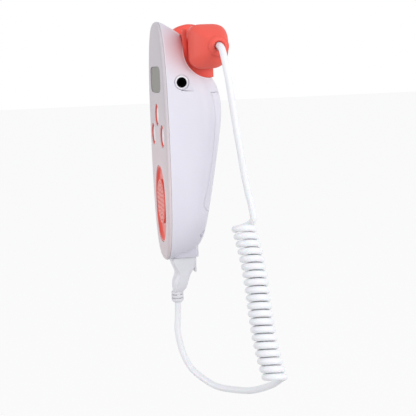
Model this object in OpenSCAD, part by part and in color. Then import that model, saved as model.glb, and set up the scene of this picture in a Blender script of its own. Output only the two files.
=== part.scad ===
// Pocket fetal doppler monitor: a hand-held listening unit with a lift-off probe in a
// saddle across its top, a curly lead and a plug in a skirted socket at the bottom.
// X runs to the right seen from the front, Y to the back, Z up. The origin is the middle
// of the hand grip, in the plane where the front cover meets the rear shell.

/* [Body] */
// Height of the body
body_h = 147; // [144:1:152]
// Width of the body
body_w = 61; // [59:1:64]
// Greatest depth of the rear shell behind the parting line
body_d = 35.7; // [34.5:0.1:37.5]
// Wall of the rear shell
wall = 2; // [1.7:0.1:2.3]
// Height of the front face above the parting line
cover_rise = 2.1; // [1.9:0.1:2.5]
// Shadow gap between the front cover and the rear shell
seam = 0.3; // [0.1:0.1:0.5]

/* [Display] */
// Width of the display window
window_w = 37.2; // [35:0.2:38.4]
// Height of the display window
window_h = 15.6; // [13:0.2:17]
// Depth of the window pane below the front face
window_recess = 0.3; // [0.2:0.1:0.9]
// Distance from the top of the body to the middle of the window
window_drop = 34.8; // [33:0.2:36]
// Thickness of the frame gasket behind the pane
gasket_t = 0.8; // [0.5:0.1:1.2]
// Thickness of the display module
module_t = 3.2; // [2.6:0.1:3.6]

/* [Buttons] */
// Diameter of a button cap
button_d = 11; // [9:0.2:12]
// Wall of the coral ring round a button
ring_wall = 0.95; // [0.7:0.05:1.2]
// Depth of the button tops below the front face
button_recess = 0.7; // [0.5:0.1:1.2]
// Travel of a button
button_travel = 0.8; // [0.4:0.1:0.9]
// Sideways distance of the two lower buttons from the middle
button_side = 17; // [15.5:0.5:18]
// Distance from the top of the body to the upper button
top_button_drop = 56.5; // [55.5:0.5:58]
// Distance from the top of the body to the two lower buttons
side_button_drop = 68.9; // [68:0.1:70]

/* [Speaker] */
// Width of the oval speaker panel
panel_w = 36; // [33:0.5:37]
// Height of the oval speaker panel
panel_h = 48; // [44:0.5:49]
// Distance from the bottom of the body to the middle of the panel
panel_rise = 35.2; // [34.5:0.1:36]
// Depth of the panel floor below the front face
panel_dish = 1.5; // [1:0.1:1.6]
// Radius of the raised grille
grille_r = 13.75; // [12.5:0.25:14.25]
// Distance from the bottom of the body to the middle of the grille
grille_rise = 36.7; // [36:0.1:37.4]
// Diameter of a grille hole
grille_hole = 1.3; // [0.8:0.1:1.6]
// Rings of holes in the grille
grille_rings = 5; // [3:1:6]
// Depth of the speaker driver
driver_h = 6.4; // [5:0.2:6.8]

/* [Electronics] */
// Thickness of the circuit boards
board_t = 1.6; // [1.2:0.1:1.8]
// Bore of the earphone socket
jack_bore = 3.5; // [2.5:0.1:3.6]
// Height of the earphone socket's body off the board
jack_h = 7.6; // [6.6:0.2:8]
// Depth of the earphone socket's bore
jack_depth = 13; // [11:0.5:14]
// Distance from the top of the body to the earphone socket
jack_drop = 36.8; // [36:0.1:37.6]

/* [Batteries] */
// Diameter of a cell
cell_d = 14.5; // [13.5:0.1:14.9]
// Length of a cell
cell_l = 50.5; // [48:0.5:51]
// Distance from the top of the body to the middle of the cells
cell_drop = 72; // [71.5:0.5:73]

/* [Battery door] */
// Width of the battery door
door_w = 52; // [48:0.5:53]
// Distance from the bottom of the body to the lower edge of the door
door_rise = 31.5; // [30.5:0.5:33]
// Gap round the battery door
door_gap = 0.35; // [0.25:0.05:0.5]

/* [Saddle] */
// Radius of the saddle cut across the top
saddle_r = 15.2; // [14.8:0.1:15.6]
// Distance of the saddle's centre behind the parting line
saddle_y = 27; // [26.6:0.1:27.6]
// Distance from the top of the body to the saddle's centre
saddle_drop = 19.5; // [19:0.1:20]
// Width of the coral cradle in the saddle
cradle_w = 45; // [42:0.5:46]

/* [Probe] */
// Radius of the probe's neck, which lies in the cradle
neck_r = 10.7; // [10.2:0.1:10.9]
// Radius of the transducer head
head_r = 16; // [15:0.2:16.2]
// Length of the transducer head
head_l = 11; // [9:0.5:13]
// Wall of the probe
probe_wall = 2; // [1.6:0.1:2.4]
// Height of the cord-end cap
cap_h = 25.8; // [25:0.2:26.4]
// Depth of the cord-end cap, front to back
cap_d = 23.2; // [22:0.2:24]
// Length of the cap's straight part
cap_l = 8; // [7:0.5:9]
// Length of the cap's dome
dome_l = 10.5; // [9.5:0.5:12]
// Radius of the boss round the cord
boss_r = 6; // [5:0.25:6.5]

/* [Socket and plug] */
// Width of the socket's skirt
skirt_w = 18; // [17:0.2:19]
// Wall of the socket's skirt
skirt_wall = 1.4; // [1:0.1:1.5]
// Width of the plug's clear nose
nose_w = 11.7; // [9:0.1:12.2]
// Thickness of the plug's clear nose
nose_t = 6.6; // [5.6:0.1:6.8]
// Length of the plug's clear nose
nose_l = 15; // [13:0.5:15.4]
// Length of the plug's moulded grip
grip_l = 22.3; // [20:0.1:24]
// Diameter of the strain relief's rings
relief_d = 7.6; // [6.5:0.1:8]
// Width of the plug's latch
latch_w = 6; // [5:0.2:7]

/* [Cord] */
// Diameter of the cord
cord_d = 4; // [3.6:0.1:4]
// Radius of the curls, to the middle of the cord
curl_r = 5.3; // [5:0.1:5.8]
// Number of curls
curls = 20; // [16:1:20]

/* [Hidden] */

$fn = 64;
clear = 0.3;       // running clearance
slip = 0.15;       // clearance of a piece pushed into its seat
cut = 1;           // how far a cutting shape runs past a face
coral = [0.94, 0.45, 0.41];
shell_white = [0.9, 0.89, 0.94];
cord_white = [0.96, 0.96, 0.97];

half_h = body_h / 2;
half_w = body_w / 2;
half_seam = seam / 2;
face_y = -cover_rise;
outline_power = 2.6;   // roundness of the front outline
section_power = 4;     // squareness of the cross sections

// Heights of what hangs from the top or stands on the bottom of the body
window_z = half_h - window_drop;
top_button_z = half_h - top_button_drop;
side_button_z = half_h - side_button_drop;
jack_z = half_h - jack_drop;
cell_z = half_h - cell_drop;
saddle_z = half_h - saddle_drop;
panel_z = -half_h + panel_rise;
grille_z = -half_h + grille_rise;
door_z0 = -half_h + door_rise;
door_z1 = saddle_z - saddle_r - wall - 6.8;

// Depths of the stack behind the front face
gasket_y = -half_seam;
module_y = gasket_y + gasket_t;
board_y = module_y + module_t;
board_back = board_y + board_t;
jack_y = board_back + jack_h / 2;

// The back profile as shares of the half height and of the depth, bottom to top
back_profile = [
    [-1, 0], [-0.98, 0.073], [-0.952, 0.157], [-0.925, 0.27], [-0.909, 0.39], [-0.891, 0.49],
    [-0.844, 0.577], [-0.748, 0.65], [-0.544, 0.737], [-0.272, 0.838], [0, 0.938],
    [0.19, 0.994], [0.32, 1], [0.435, 0.958], [0.517, 0.88], [0.626, 0.756], [0.762, 0.546],
    [0.898, 0.33], [0.925, 0.255], [0.962, 0.137], [0.98, 0.084], [1, 0]];

// Slope of the back profile at its point i, from its neighbours
function profile_slope(i) =
    let (a = back_profile[max(i - 1, 0)], b = back_profile[min(i + 1, len(back_profile) - 1)])
    (b[1] - a[1]) / (b[0] - a[0]);
// Share of the depth at share s of the half height, smooth through the profile's points
function depth_share(s) =
    let (i = max([for (k = [0 : len(back_profile) - 2]) if (back_profile[k][0] <= s) k]),
         a = back_profile[i], b = back_profile[i + 1], w = b[0] - a[0], t = (s - a[0]) / w,
         ma = profile_slope(i) * w, mb = profile_slope(i + 1) * w)
    a[1] * (1 + 2 * t) * (1 - t) * (1 - t) + b[1] * t * t * (3 - 2 * t)
    + ma * t * (1 - t) * (1 - t) - mb * t * t * (1 - t);
function depth(z) = body_d * depth_share(max(-1, min(1, z / half_h)));
function depth_rise(z) = (depth(z + 0.2) - depth(z - 0.2)) / 0.4;

// The cells lie against the foam, which ribs hold off the inside of the battery door
foam_t = 1;
foam_h = 36;
foam_side = 4;
rib_room = 2.05;
tray_t = 1.5;
foam_y = depth(cell_z - foam_h / 2) - wall - rib_room - foam_t;
cell_y = foam_y - 0.1 - cell_d / 2;
cell_x = cell_d / 2 + 0.35;
tray_y = cell_y - cell_d / 2 - slip - tray_t;
tray_end = 3;          // room for a spring or a plate at each end of a cell
tray_wall = 1.5;
tray_z0 = cell_z - cell_l / 2 - tray_end - tray_wall;
tray_z1 = cell_z + cell_l / 2 + tray_end + tray_wall;

// Signed power, for superellipses
function spow(v, p) = sign(v) * pow(abs(v), p);
// Points of a superellipse with half sizes a and b, power p and n points
function oval(a, b, p, n) =
    [for (i = [0 : n - 1]) [a * spow(cos(360 * i / n), 2 / p), b * spow(sin(360 * i / n), 2 / p)]];
// The body's front outline, drawn in by inset
function outline(inset, n = 72) = oval(half_w - inset, half_h - inset, outline_power, n);

// Half a cross section, from the right over the back to the left
section_steps = 18;
function section(w, d, z) =
    [for (j = [0 : section_steps]) let (t = 180 * j / section_steps)
        [w * spow(cos(t), 2 / section_power),
         half_seam + max(d - half_seam, 0.05) * pow(max(0, sin(t)), 2 / section_power), z]];
// Sections are spaced by the angle round the outline
section_angles = [for (a = [-84 : 6 : 84]) a];
function outer_section(a) =
    let (z = half_h * spow(sin(a), 2 / outline_power))
    section(half_w * pow(cos(a), 2 / outline_power), depth(z), z);
function inner_section(a) =
    let (z = (half_h - wall) * spow(sin(a), 2 / outline_power), rise = depth_rise(z))
    section((half_w - wall) * pow(cos(a), 2 / outline_power),
            depth(z) - wall * sqrt(1 + rise * rise), z);
function flat_list(l) = [for (a = l) for (b = a) b];
function reversed(l) = [for (i = [len(l) - 1 : -1 : 0]) l[i]];

// Faces between rings of k points each, n rings
function side_faces(n, k) =
    [for (i = [0 : n - 2]) for (j = [0 : k - 1]) let (j2 = (j + 1) % k)
        each [[i * k + j, (i + 1) * k + j, (i + 1) * k + j2],
              [i * k + j, (i + 1) * k + j2, i * k + j2]]];

// A solid through closed rings, capped flat at both ends
module loft(rings) {
    n = len(rings);
    k = len(rings[0]);
    bottom = [for (j = [0 : k - 1]) j];
    top = [for (j = [k - 1 : -1 : 0]) (n - 1) * k + j];
    polyhedron(flat_list(rings), concat(side_faces(n, k), [bottom, top]), convexity = 6);
}

// The full volume behind the parting line
module body_solid() {
    rings = [for (a = section_angles) outer_section(a)];
    n = len(rings);
    k = section_steps + 1;
    low = n * k;
    high = low + 1;
    ends = [for (j = [0 : k - 1]) let (j2 = (j + 1) % k)
        each [[low, j, j2], [(n - 1) * k + j, high, (n - 1) * k + j2]]];
    tips = [[0, half_seam, -half_h], [0, half_seam, half_h]];
    polyhedron(concat(flat_list(rings), tips), concat(side_faces(n, k), ends), convexity = 6);
}

// The bare skin of the rear shell, before anything is cut
module shell_skin() {
    rings = [for (a = section_angles) concat(outer_section(a), reversed(inner_section(a)))];
    n = len(rings);
    m = section_steps;
    k = 2 * m + 2;
    tip = n * k;   // outer bottom, inner bottom, outer top, inner top
    tips = [[0, half_seam, -half_h], [0, half_seam, wall - half_h],
            [0, half_seam, half_h], [0, half_seam, half_h - wall]];
    last = (n - 1) * k;
    ends = [for (j = [0 : k - 1]) if (j != m && j != k - 1) let (in = j > m ? 1 : 0)
        each [[tip + in, j, j + 1], [last + j, tip + 2 + in, last + j + 1]]];
    rims = [[tip, m, m + 1], [tip, m + 1, tip + 1],
            [tip + 1, k - 1, 0], [tip + 1, 0, tip],
            [last + m, tip + 2, last + m + 1], [last + m + 1, tip + 2, tip + 3],
            [last + k - 1, tip + 3, last], [last, tip + 3, tip + 2]];
    polyhedron(concat(flat_list(rings), tips),
               concat(side_faces(n, k), ends, rims), convexity = 10);
}

// Shapes drawn in the front view and carried from depth y0 to y1
module slab(y0, y1) {
    translate([0, y1, 0]) rotate([90, 0, 0]) linear_extrude(y1 - y0) children();
}
// Shapes drawn in the side view (Y, Z) and carried from x0 to x1
module side_slab(x0, x1) {
    translate([x0, 0, 0]) rotate([90, 0, 90]) linear_extrude(x1 - x0) children();
}
// A round bar along Y, from y0 to y1
module bar_y(x, z, r, y0, y1) {
    translate([x, y1, z]) rotate([90, 0, 0]) cylinder(r = r, h = y1 - y0);
}
// A round bar along X, from x0 to x1
module bar_x(y, z, r, x0, x1) {
    translate([x0, y, z]) rotate([0, 90, 0]) cylinder(r = r, h = x1 - x0);
}
// A rectangle with round corners
module round_rect(w, h, r) {
    translate([-w / 2 + r, -h / 2]) square([w - 2 * r, h]);
    translate([-w / 2, -h / 2 + r]) square([w, h - 2 * r]);
    for (x = [-1, 1]) for (y = [-1, 1]) translate([x * (w / 2 - r), y * (h / 2 - r)]) circle(r);
}

/* Front cover, window and buttons */
cover_edge = [[0, 0], [0, 0.57], [0.5, 0.81], [1.5, 0.952], [3, 1]];  // [inset, share of rise]
lip_inset = 0.2;
lip_t = 1.2;
lip_deep = 2.4;
lip_reach = 0.7;       // share of the half height along which the lip runs
screw_r = 1.1;
screw_head_r = 2.2;
screw_head_h = 1.6;
post_r = 3.2;
post_y = 5;            // where the cover's bosses meet the shell's posts
boss_cover_r = 2.6;
top_screw = [16, saddle_z];
low_screw = [18.2, -half_h + 17.5];
saddle_front = saddle_y - saddle_r;
low_head_y = post_y + 3;
ring_r = button_d / 2 + clear + ring_wall;
ring_flange = 1;
flange_w = 1.3;
pillar_r = 2;
button_places = [[0, top_button_z], [-button_side, side_button_z], [button_side, side_button_z]];
// Each tray screw clears the ring or the panel beside it, and its head stays inside the tray
tray_screw_z = [top_button_z + ring_r + ring_flange + pillar_r + 0.2,
                max(panel_z + panel_h / 2 + flange_w + pillar_r + 2,
                    tray_z0 + tray_wall + screw_head_r + clear)];

module window_shape(grow) {
    polygon([for (p = oval(window_w / 2 + grow, window_h / 2 + grow, 5, 48))
        [p[0], p[1] + window_z]]);
}
module panel_shape(grow) {
    polygon([for (p = oval(panel_w / 2 + grow, panel_h / 2 + grow, 2.3, 64))
        [p[0], p[1] + panel_z]]);
}

module cover_plate() {
    loft([for (e = cover_edge) [for (p = outline(e[0]))
        [p[0], e[1] == 0 ? -half_seam : -e[1] * cover_rise, p[1]]]]);
}

module front_cover() {
    color(shell_white) difference() {
        union() {
            cover_plate();
            slab(-half_seam - 0.2, lip_deep) intersection() {
                difference() {
                    polygon(outline(wall + lip_inset));
                    polygon(outline(wall + lip_inset + lip_t));
                }
                square([body_w, 2 * lip_reach * half_h], center = true);
            }
            for (s = [-1, 1]) {
                bar_y(s * top_screw[0], top_screw[1], boss_cover_r, -1, post_y);
                bar_y(s * low_screw[0], low_screw[1], boss_cover_r, -1, post_y);
            }
            for (z = tray_screw_z) bar_y(0, z, pillar_r, -1, board_y);
        }
        slab(face_y - cut, cut) window_shape(slip);
        for (b = button_places) bar_y(b[0], b[1], ring_r + slip, face_y - cut, cut);
        slab(face_y - cut, 0) panel_shape(0);
        for (s = [-1, 1]) {
            bar_y(s * top_screw[0], top_screw[1], screw_r + 0.1, 0.2, post_y + cut);
            bar_y(s * low_screw[0], low_screw[1], screw_r + 0.1, 0.2, post_y + cut);
        }
        for (z = tray_screw_z) bar_y(0, z, screw_r + 0.1, 0.2, board_y + cut);
    }
}

module display_window() {
    color([0.55, 0.54, 0.5]) slab(face_y + window_recess, gasket_y) window_shape(0);
}

gasket_w = 1.8;
module display_gasket() {
    color([0.2, 0.2, 0.21]) slab(gasket_y, module_y) difference() {
        window_shape(gasket_w);
        window_shape(-1.6);
    }
}

module display_module() {
    color([0.5, 0.52, 0.46]) slab(module_y, board_y) translate([0, window_z])
        round_rect(window_w + 3.4, window_h + 3.4, 1);
}

// The rings stand in the cover's round holes on one thin carrier behind the cover
carrier_t = 0.8;
module button_rings() {
    color(coral) difference() {
        union() {
            for (b = button_places) {
                bar_y(b[0], b[1], ring_r, face_y + 0.2, carrier_t);
                bar_y(b[0], b[1], ring_r + ring_flange, -half_seam, carrier_t);
            }
            slab(-half_seam, carrier_t) for (s = [-1, 1])
                polygon([[s * 2, top_button_z], [s * button_side, side_button_z + 3],
                         [s * button_side, side_button_z - 3], [0, top_button_z - ring_r]]);
        }
        for (b = button_places) bar_y(b[0], b[1], button_d / 2 + clear, face_y - cut, 2 * cut);
    }
}

// A cap with a rounded rim, and a flange that keeps it behind the ring
flange_y = carrier_t + 0.1;
flange_t = 0.5;
module button(place) {
    r = button_d / 2;
    top = face_y + button_recess;
    rim = 0.6;
    color([0.98, 0.98, 0.98]) translate([place[0], 0, place[1]]) rotate([-90, 0, 0])
        rotate_extrude() polygon(concat(
            [[0, top], [r - rim, top]],
            [for (a = [15 : 15 : 75]) [r - rim + rim * sin(a), top + rim - rim * cos(a)]],
            [[r, top + rim], [r, flange_y], [r + 0.8, flange_y],
             [r + 0.8, flange_y + flange_t], [0, flange_y + flange_t]]));
}
module button_top() { button(button_places[0]); }
module button_left() { button(button_places[1]); }
module button_right() { button(button_places[2]); }

/* Speaker */
panel_floor_y = face_y + panel_dish;
panel_t = 1.4;
panel_wall = 1.1;
grille_t = 1.2;
module speaker_panel() {
    color(coral) difference() {
        union() {
            slab(face_y + 0.15, panel_floor_y + panel_t) panel_shape(-slip);
            slab(-half_seam, panel_floor_y + panel_t) panel_shape(flange_w);
        }
        slab(face_y - cut, panel_floor_y) panel_shape(-slip - panel_wall);
        bar_y(0, grille_z, grille_r + slip, face_y - cut, panel_floor_y + panel_t + cut);
    }
}

grille_back = panel_floor_y + panel_t;
module speaker_grille() {
    color(coral) difference() {
        union() {
            bar_y(0, grille_z, grille_r, face_y + 0.2, grille_back);
            bar_y(0, grille_z, grille_r + flange_w, grille_back, grille_back + 0.6);
        }
        bar_y(0, grille_z, grille_r - 1.3, face_y + 0.2 + grille_t, grille_back + cut);
        for (k = [0 : grille_rings - 1]) for (i = [0 : max(0, 6 * k - 1)])
            let (a = k == 0 ? 0 : 60 * i / k, r = k * (grille_r - 2) / max(1, grille_rings - 1))
            bar_y(r * cos(a), grille_z + r * sin(a), grille_hole / 2, face_y - cut, 1);
    }
}

driver_y = grille_back + 0.6 + 0.8;
module speaker_gasket() {
    color([0.2, 0.2, 0.2]) difference() {
        bar_y(0, grille_z, grille_r + flange_w, driver_y - 0.8, driver_y);
        bar_y(0, grille_z, grille_r - 1.6, driver_y - 2, driver_y + cut);
    }
}
cone_r = grille_r - 1.8;
module speaker_driver() {
    color([0.45, 0.45, 0.47]) translate([0, driver_y, grille_z]) rotate([-90, 0, 0])
        rotate_extrude() polygon([
            [cone_r + 0.2, 0], [grille_r, 0], [grille_r, 1.2], [grille_r - 2, driver_h - 2.4],
            [7.5, driver_h - 2.4], [7.5, driver_h], [0, driver_h], [0, driver_h - 3.4],
            [6, driver_h - 3.4], [cone_r - 1.4, driver_h - 3.6], [cone_r + 0.2, 0.6]]);
}
module speaker_cone() {
    color([0.12, 0.12, 0.12]) translate([0, driver_y, grille_z]) rotate([-90, 0, 0])
        rotate_extrude() polygon([
            [0, 1.2], [4, 1.4], [cone_r - 2, 0.3], [cone_r, 0.3], [cone_r, 0.8],
            [cone_r - 1.9, 0.8], [4, 2.2], [0, 2.2]]);
}

/* Boards */
board_side = 24;
board_z0 = panel_z + panel_h / 2 - 6;
board_z1 = saddle_z - 4.2;
module main_board() {
    color([0.1, 0.4, 0.22]) slab(board_y, board_back) difference() {
        intersection() {
            polygon(outline(wall + 1.6));
            translate([-board_side, board_z0]) square([2 * board_side, board_z1 - board_z0]);
        }
        for (z = tray_screw_z) translate([0, z]) circle(screw_r + 0.15);
    }
}
chip_t = 0.7;
module board_chips() {
    color([0.1, 0.1, 0.11]) {
        translate([-11, board_back, top_button_z - 5]) cube([9, chip_t, 9]);
        translate([5, board_back, top_button_z - 3]) cube([7, chip_t, 5]);
        translate([-19, board_back, side_button_z - 8]) cube([6, chip_t, 8]);
        translate([-13, board_back, window_z - 4]) cube([10, chip_t, 6]);
    }
}
switch_h = board_y - (flange_y + flange_t + button_travel + 0.1);
module tact_switches() {
    color([0.75, 0.76, 0.78]) for (b = button_places) {
        bar_y(b[0], b[1], 1.6, board_y - switch_h, board_y - switch_h + 0.45);
        translate([b[0] - 2.6, board_y - switch_h + 0.4, b[1] - 2.6])
            cube([5.2, switch_h - 0.4, 5.2]);
    }
}

/* Earphone socket */
jack_inset = 2.8;      // how far the side wall lies inside the body's half width there
jack_mouth = half_w - jack_inset;
jack_barrel_r = 3.05;
jack_block_gap = 2.5;  // from the socket's face in to its square block
jack_block = 7.2;
jack_back = jack_mouth - jack_depth - 1.2;
module earphone_jack() {
    color([0.05, 0.05, 0.05]) difference() {
        union() {
            translate([jack_back, board_back, jack_z - jack_block / 2])
                cube([jack_mouth - jack_back - jack_block_gap, jack_h, jack_block]);
            bar_x(jack_y, jack_z, jack_barrel_r, jack_mouth - 3, jack_mouth);
        }
        bar_x(jack_y, jack_z, jack_bore / 2, jack_mouth - jack_depth, jack_mouth + cut);
    }
}

/* Rear shell */
skirt_y0 = 3.2;
skirt_y1 = 19.4;
skirt_z0 = -half_h + 1.3;
skirt_z1 = -half_h + 13.5;
skirt_r = 3;
module skirt_shape(grow) {
    translate([0, (skirt_y0 + skirt_y1) / 2])
        round_rect(skirt_w + 2 * grow, skirt_y1 - skirt_y0 + 2 * grow, skirt_r + grow);
}
// Everything above and behind the saddle's round bottom
module saddle_space(r, y_front) {
    translate([saddle_y, saddle_z]) circle(r);
    translate([y_front, saddle_z]) square([2 * body_d, body_h]);
}
door_corner = 8;
// The door's outline, with wide round corners at the bottom
module door_outline(grow) {
    half = door_w / 2;
    translate([-half - grow, door_z0 + door_corner])
        square([door_w + 2 * grow, door_z1 + grow - door_z0 - door_corner]);
    translate([-half + door_corner, door_z0 - grow])
        square([door_w - 2 * door_corner, door_corner + grow + 1]);
    for (s = [-1, 1]) translate([s * (half - door_corner), door_z0 + door_corner])
        circle(door_corner + grow);
}
pocket_r = 13;         // ball that hollows the finger pocket beside the earphone socket
module rear_shell() {
    color(shell_white) difference() {
        union() {
            shell_skin();
            intersection() {
                body_solid();
                union() {
                    side_slab(-half_w, half_w) difference() {
                        saddle_space(saddle_r + wall, saddle_y - saddle_r - wall);
                        translate([saddle_y - saddle_r, saddle_z + saddle_r])
                            square([body_d, body_h]);
                    }
                    for (s = [-1, 1]) {
                        bar_y(s * top_screw[0], top_screw[1], post_r, post_y, saddle_y);
                        bar_y(s * low_screw[0], low_screw[1], post_r, post_y, body_d);
                    }
                }
            }
        }
        side_slab(-half_w - cut, half_w + cut)
            saddle_space(saddle_r, saddle_y - saddle_r);
        slab(body_d / 4, body_d + cut) door_outline(door_gap);
        translate([0, 0, -half_h - cut]) linear_extrude(skirt_z1 + half_h + 2 * cut)
            skirt_shape(slip);
        for (s = [-1, 1]) {
            bar_y(s * top_screw[0], top_screw[1], screw_r + 0.1, post_y - cut, saddle_y);
            bar_y(s * top_screw[0], top_screw[1], screw_head_r + 0.2, saddle_front - 1.8, saddle_y);
            bar_y(s * low_screw[0], low_screw[1], screw_r + 0.1, post_y - cut, body_d);
            bar_y(s * low_screw[0], low_screw[1], screw_head_r + 0.2, low_head_y, body_d);
        }
        bar_x(jack_y, jack_z, jack_barrel_r + slip, half_w / 2, half_w + cut);
        translate([jack_mouth + 0.05 + pocket_r, jack_y + 2.2, jack_z - 1.8]) sphere(pocket_r);
    }
}

module socket_skirt() {
    color(shell_white) difference() {
        translate([0, 0, skirt_z0]) linear_extrude(skirt_z1 - skirt_z0) skirt_shape(0);
        translate([0, 0, skirt_z0 - cut]) linear_extrude(skirt_z1 - skirt_z0 + 2 * cut)
            skirt_hollow();
    }
}
skirt_back_wall = 0.7;
module skirt_hollow() {
    y0 = skirt_y0 + skirt_wall;
    y1 = skirt_y1 - skirt_back_wall;
    translate([0, (y0 + y1) / 2]) round_rect(skirt_w - 2 * skirt_wall, y1 - y0, 1.5);
}

/* Cradle */
probe_y = saddle_y - 1.6;
probe_z = saddle_z + 3;
channel_r = neck_r + clear;
cradle_r = saddle_r - slip;
cradle_back = saddle_y + 2.8;
cradle_top = probe_z + 8.2;
ear_top = cradle_top + 2.6;
ear_w = 3.2;
module cradle_profile(top) {
    difference() {
        intersection() {
            saddle_space(cradle_r, saddle_y - cradle_r);
            translate([0, 0]) square([cradle_back, top]);
        }
        translate([probe_y, probe_z]) circle(channel_r);
        translate([probe_y - channel_r, probe_z]) square([2 * body_d, body_h]);
        translate([probe_y, probe_z - channel_r]) square([2 * body_d, body_h]);
    }
}
module probe_cradle() {
    color(coral) {
        side_slab(-cradle_w / 2, cradle_w / 2) cradle_profile(cradle_top);
        for (x = [-cradle_w / 2, cradle_w / 2 - ear_w])
            side_slab(x, x + ear_w) cradle_profile(ear_top);
    }
}

/* Battery bay and door */
tray_half = cell_x + cell_d / 2 + 0.5 + tray_wall;
tray_rim = cell_y + 4;
module battery_tray() {
    color([0.2, 0.2, 0.22]) difference() {
        union() {
            translate([-tray_half, tray_y, tray_z0])
                cube([2 * tray_half, tray_rim - tray_y, tray_z1 - tray_z0]);
            for (z = tray_screw_z) bar_y(0, z, 2.4, board_back, tray_y + 0.2);
        }
        translate([-tray_half + tray_wall, tray_y + tray_t, tray_z0 + tray_wall])
            cube([2 * (tray_half - tray_wall), body_d, tray_z1 - tray_z0 - 2 * tray_wall]);
        for (z = tray_screw_z) bar_y(0, z, screw_r + 0.1, board_back - cut, tray_rim);
    }
}
module cell(x, way) {
    nub_l = 1.2;
    translate([x, cell_y, cell_z]) rotate([way > 0 ? 0 : 180, 0, 0]) {
        translate([0, 0, -cell_l / 2]) cylinder(d = cell_d, h = cell_l - nub_l);
        translate([0, 0, cell_l / 2 - nub_l]) cylinder(r = 2.7, h = nub_l);
    }
}
module battery_a() { color([0.25, 0.27, 0.3]) cell(-cell_x, 1); }
module battery_b() { color([0.25, 0.27, 0.3]) cell(cell_x, -1); }
plate_t = 0.5;
module end_plate(x, way) {
    inner = cell_l / 2 + tray_end - plate_t;
    translate([x - 5, cell_y - 5, cell_z + (way > 0 ? inner : -inner - plate_t)])
        cube([10, 9, plate_t]);
}
module battery_plates() {
    color([0.8, 0.8, 0.82]) for (x = [-cell_x, cell_x]) for (way = [-1, 1]) end_plate(x, way);
}
module battery_springs() {
    h = tray_end - plate_t;
    color([0.8, 0.8, 0.82]) {
        translate([-cell_x, cell_y, cell_z - cell_l / 2 - h]) cylinder(r1 = 4, r2 = 2.6, h = h);
        translate([cell_x, cell_y, cell_z + cell_l / 2]) cylinder(r1 = 2.6, r2 = 4, h = h);
        translate([-cell_x, cell_y, cell_z + cell_l / 2]) cylinder(r = 2, h = h);
        translate([cell_x, cell_y, cell_z - cell_l / 2 - h]) cylinder(r = 2, h = h);
    }
}

rib_t = 1.6;
rib_h = 44;
tongue_w = 6;
tongue_x = 12;
tongue_t = 1.5;
tongue_drop = 3;       // how far a tongue reaches below the door's lower edge
tongue_root = 1.2;     // where its root begins above that edge
tongue_gap = 1.6;      // from the inside of the door's skin to a tongue
hinge_y = depth(door_z0);
module battery_door() {
    skin = wall * sqrt(1 + pow(depth_rise(door_z0), 2));
    tongue_y = hinge_y - skin - clear - tongue_gap - tongue_t;
    color(shell_white) {
        intersection() {
            shell_skin();
            slab(body_d / 4, body_d + cut) door_outline(0);
        }
        intersection() {
            body_solid();
            for (x = [-cell_x, cell_x])
                translate([x - rib_t / 2, foam_y + foam_t, cell_z - rib_h / 2])
                    cube([rib_t, body_d, rib_h]);
        }
        for (s = [-1, 1]) translate([s * tongue_x - tongue_w / 2, tongue_y, door_z0]) {
            translate([0, 0, -tongue_drop]) cube([tongue_w, tongue_t, 8]);
            translate([0, 0, tongue_root])
                cube([tongue_w, hinge_y - skin / 2 - tongue_y, 8 - tongue_drop - tongue_root]);
        }
    }
}
module door_foam() {
    color([0.3, 0.3, 0.31]) translate([-cell_x - foam_side, foam_y, cell_z - foam_h / 2])
        cube([2 * (cell_x + foam_side), foam_t, foam_h]);
}

/* Screws */
module screw(x, z, head_y, tip_y) {
    bar_y(x, z, screw_r, tip_y, head_y + 0.1);
    bar_y(x, z, screw_head_r, head_y, head_y + screw_head_h);
}
module case_screws() {
    color([0.7, 0.71, 0.73]) for (s = [-1, 1]) {
        screw(s * top_screw[0], top_screw[1], saddle_front - 1.8, 0.6);
        screw(s * low_screw[0], low_screw[1], low_head_y, 0.6);
    }
}
module tray_screws() {
    color([0.7, 0.71, 0.73]) for (z = tray_screw_z) screw(0, z, tray_y + tray_t, 0.6);
}

/* Probe socket */
socket_z0 = skirt_z1;
socket_z1 = -half_h + 21.5;
socket_y1 = skirt_y1 - 0.8;
nose_y0 = skirt_y0 + 3;
nose_z0 = skirt_z0 - clear;
nose_z1 = nose_z0 + nose_l;
module probe_socket() {
    color([0.15, 0.15, 0.16]) difference() {
        translate([-skirt_w / 2, skirt_y0, socket_z0])
            cube([skirt_w, socket_y1 - skirt_y0, socket_z1 - socket_z0]);
        translate([-nose_w / 2 - clear, nose_y0 - clear - 1, socket_z0 - cut])
            cube([nose_w + 2 * clear, nose_t + 2 * clear + 5, nose_z1 + 0.5 - socket_z0 + cut]);
        for (i = [-1.5 : 1.5]) translate([i * 2 - 0.5, nose_y0 - clear - 1.2, nose_z1 - 3])
            cube([1, 1.2, socket_z1 - nose_z1 + 3 + cut]);
    }
}
module socket_contacts() {
    color([0.85, 0.68, 0.3]) for (i = [-1.5 : 1.5])
        translate([i * 2 - 0.35, nose_y0 - clear - 1, nose_z1 - 2.6])
            cube([0.7, 0.8, socket_z1 - nose_z1 + 3.2]);
}
lead_y = board_y + 0.6;
module socket_lead() {
    x0 = -grille_r - 3.6;
    color([0.86, 0.86, 0.84]) slab(lead_y, lead_y + 0.4) {
        translate([x0, socket_z1]) square([2.8, board_z0 - socket_z1]);
        translate([x0, socket_z1]) square([-x0 - 5.5, 1.6]);
    }
}

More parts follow.
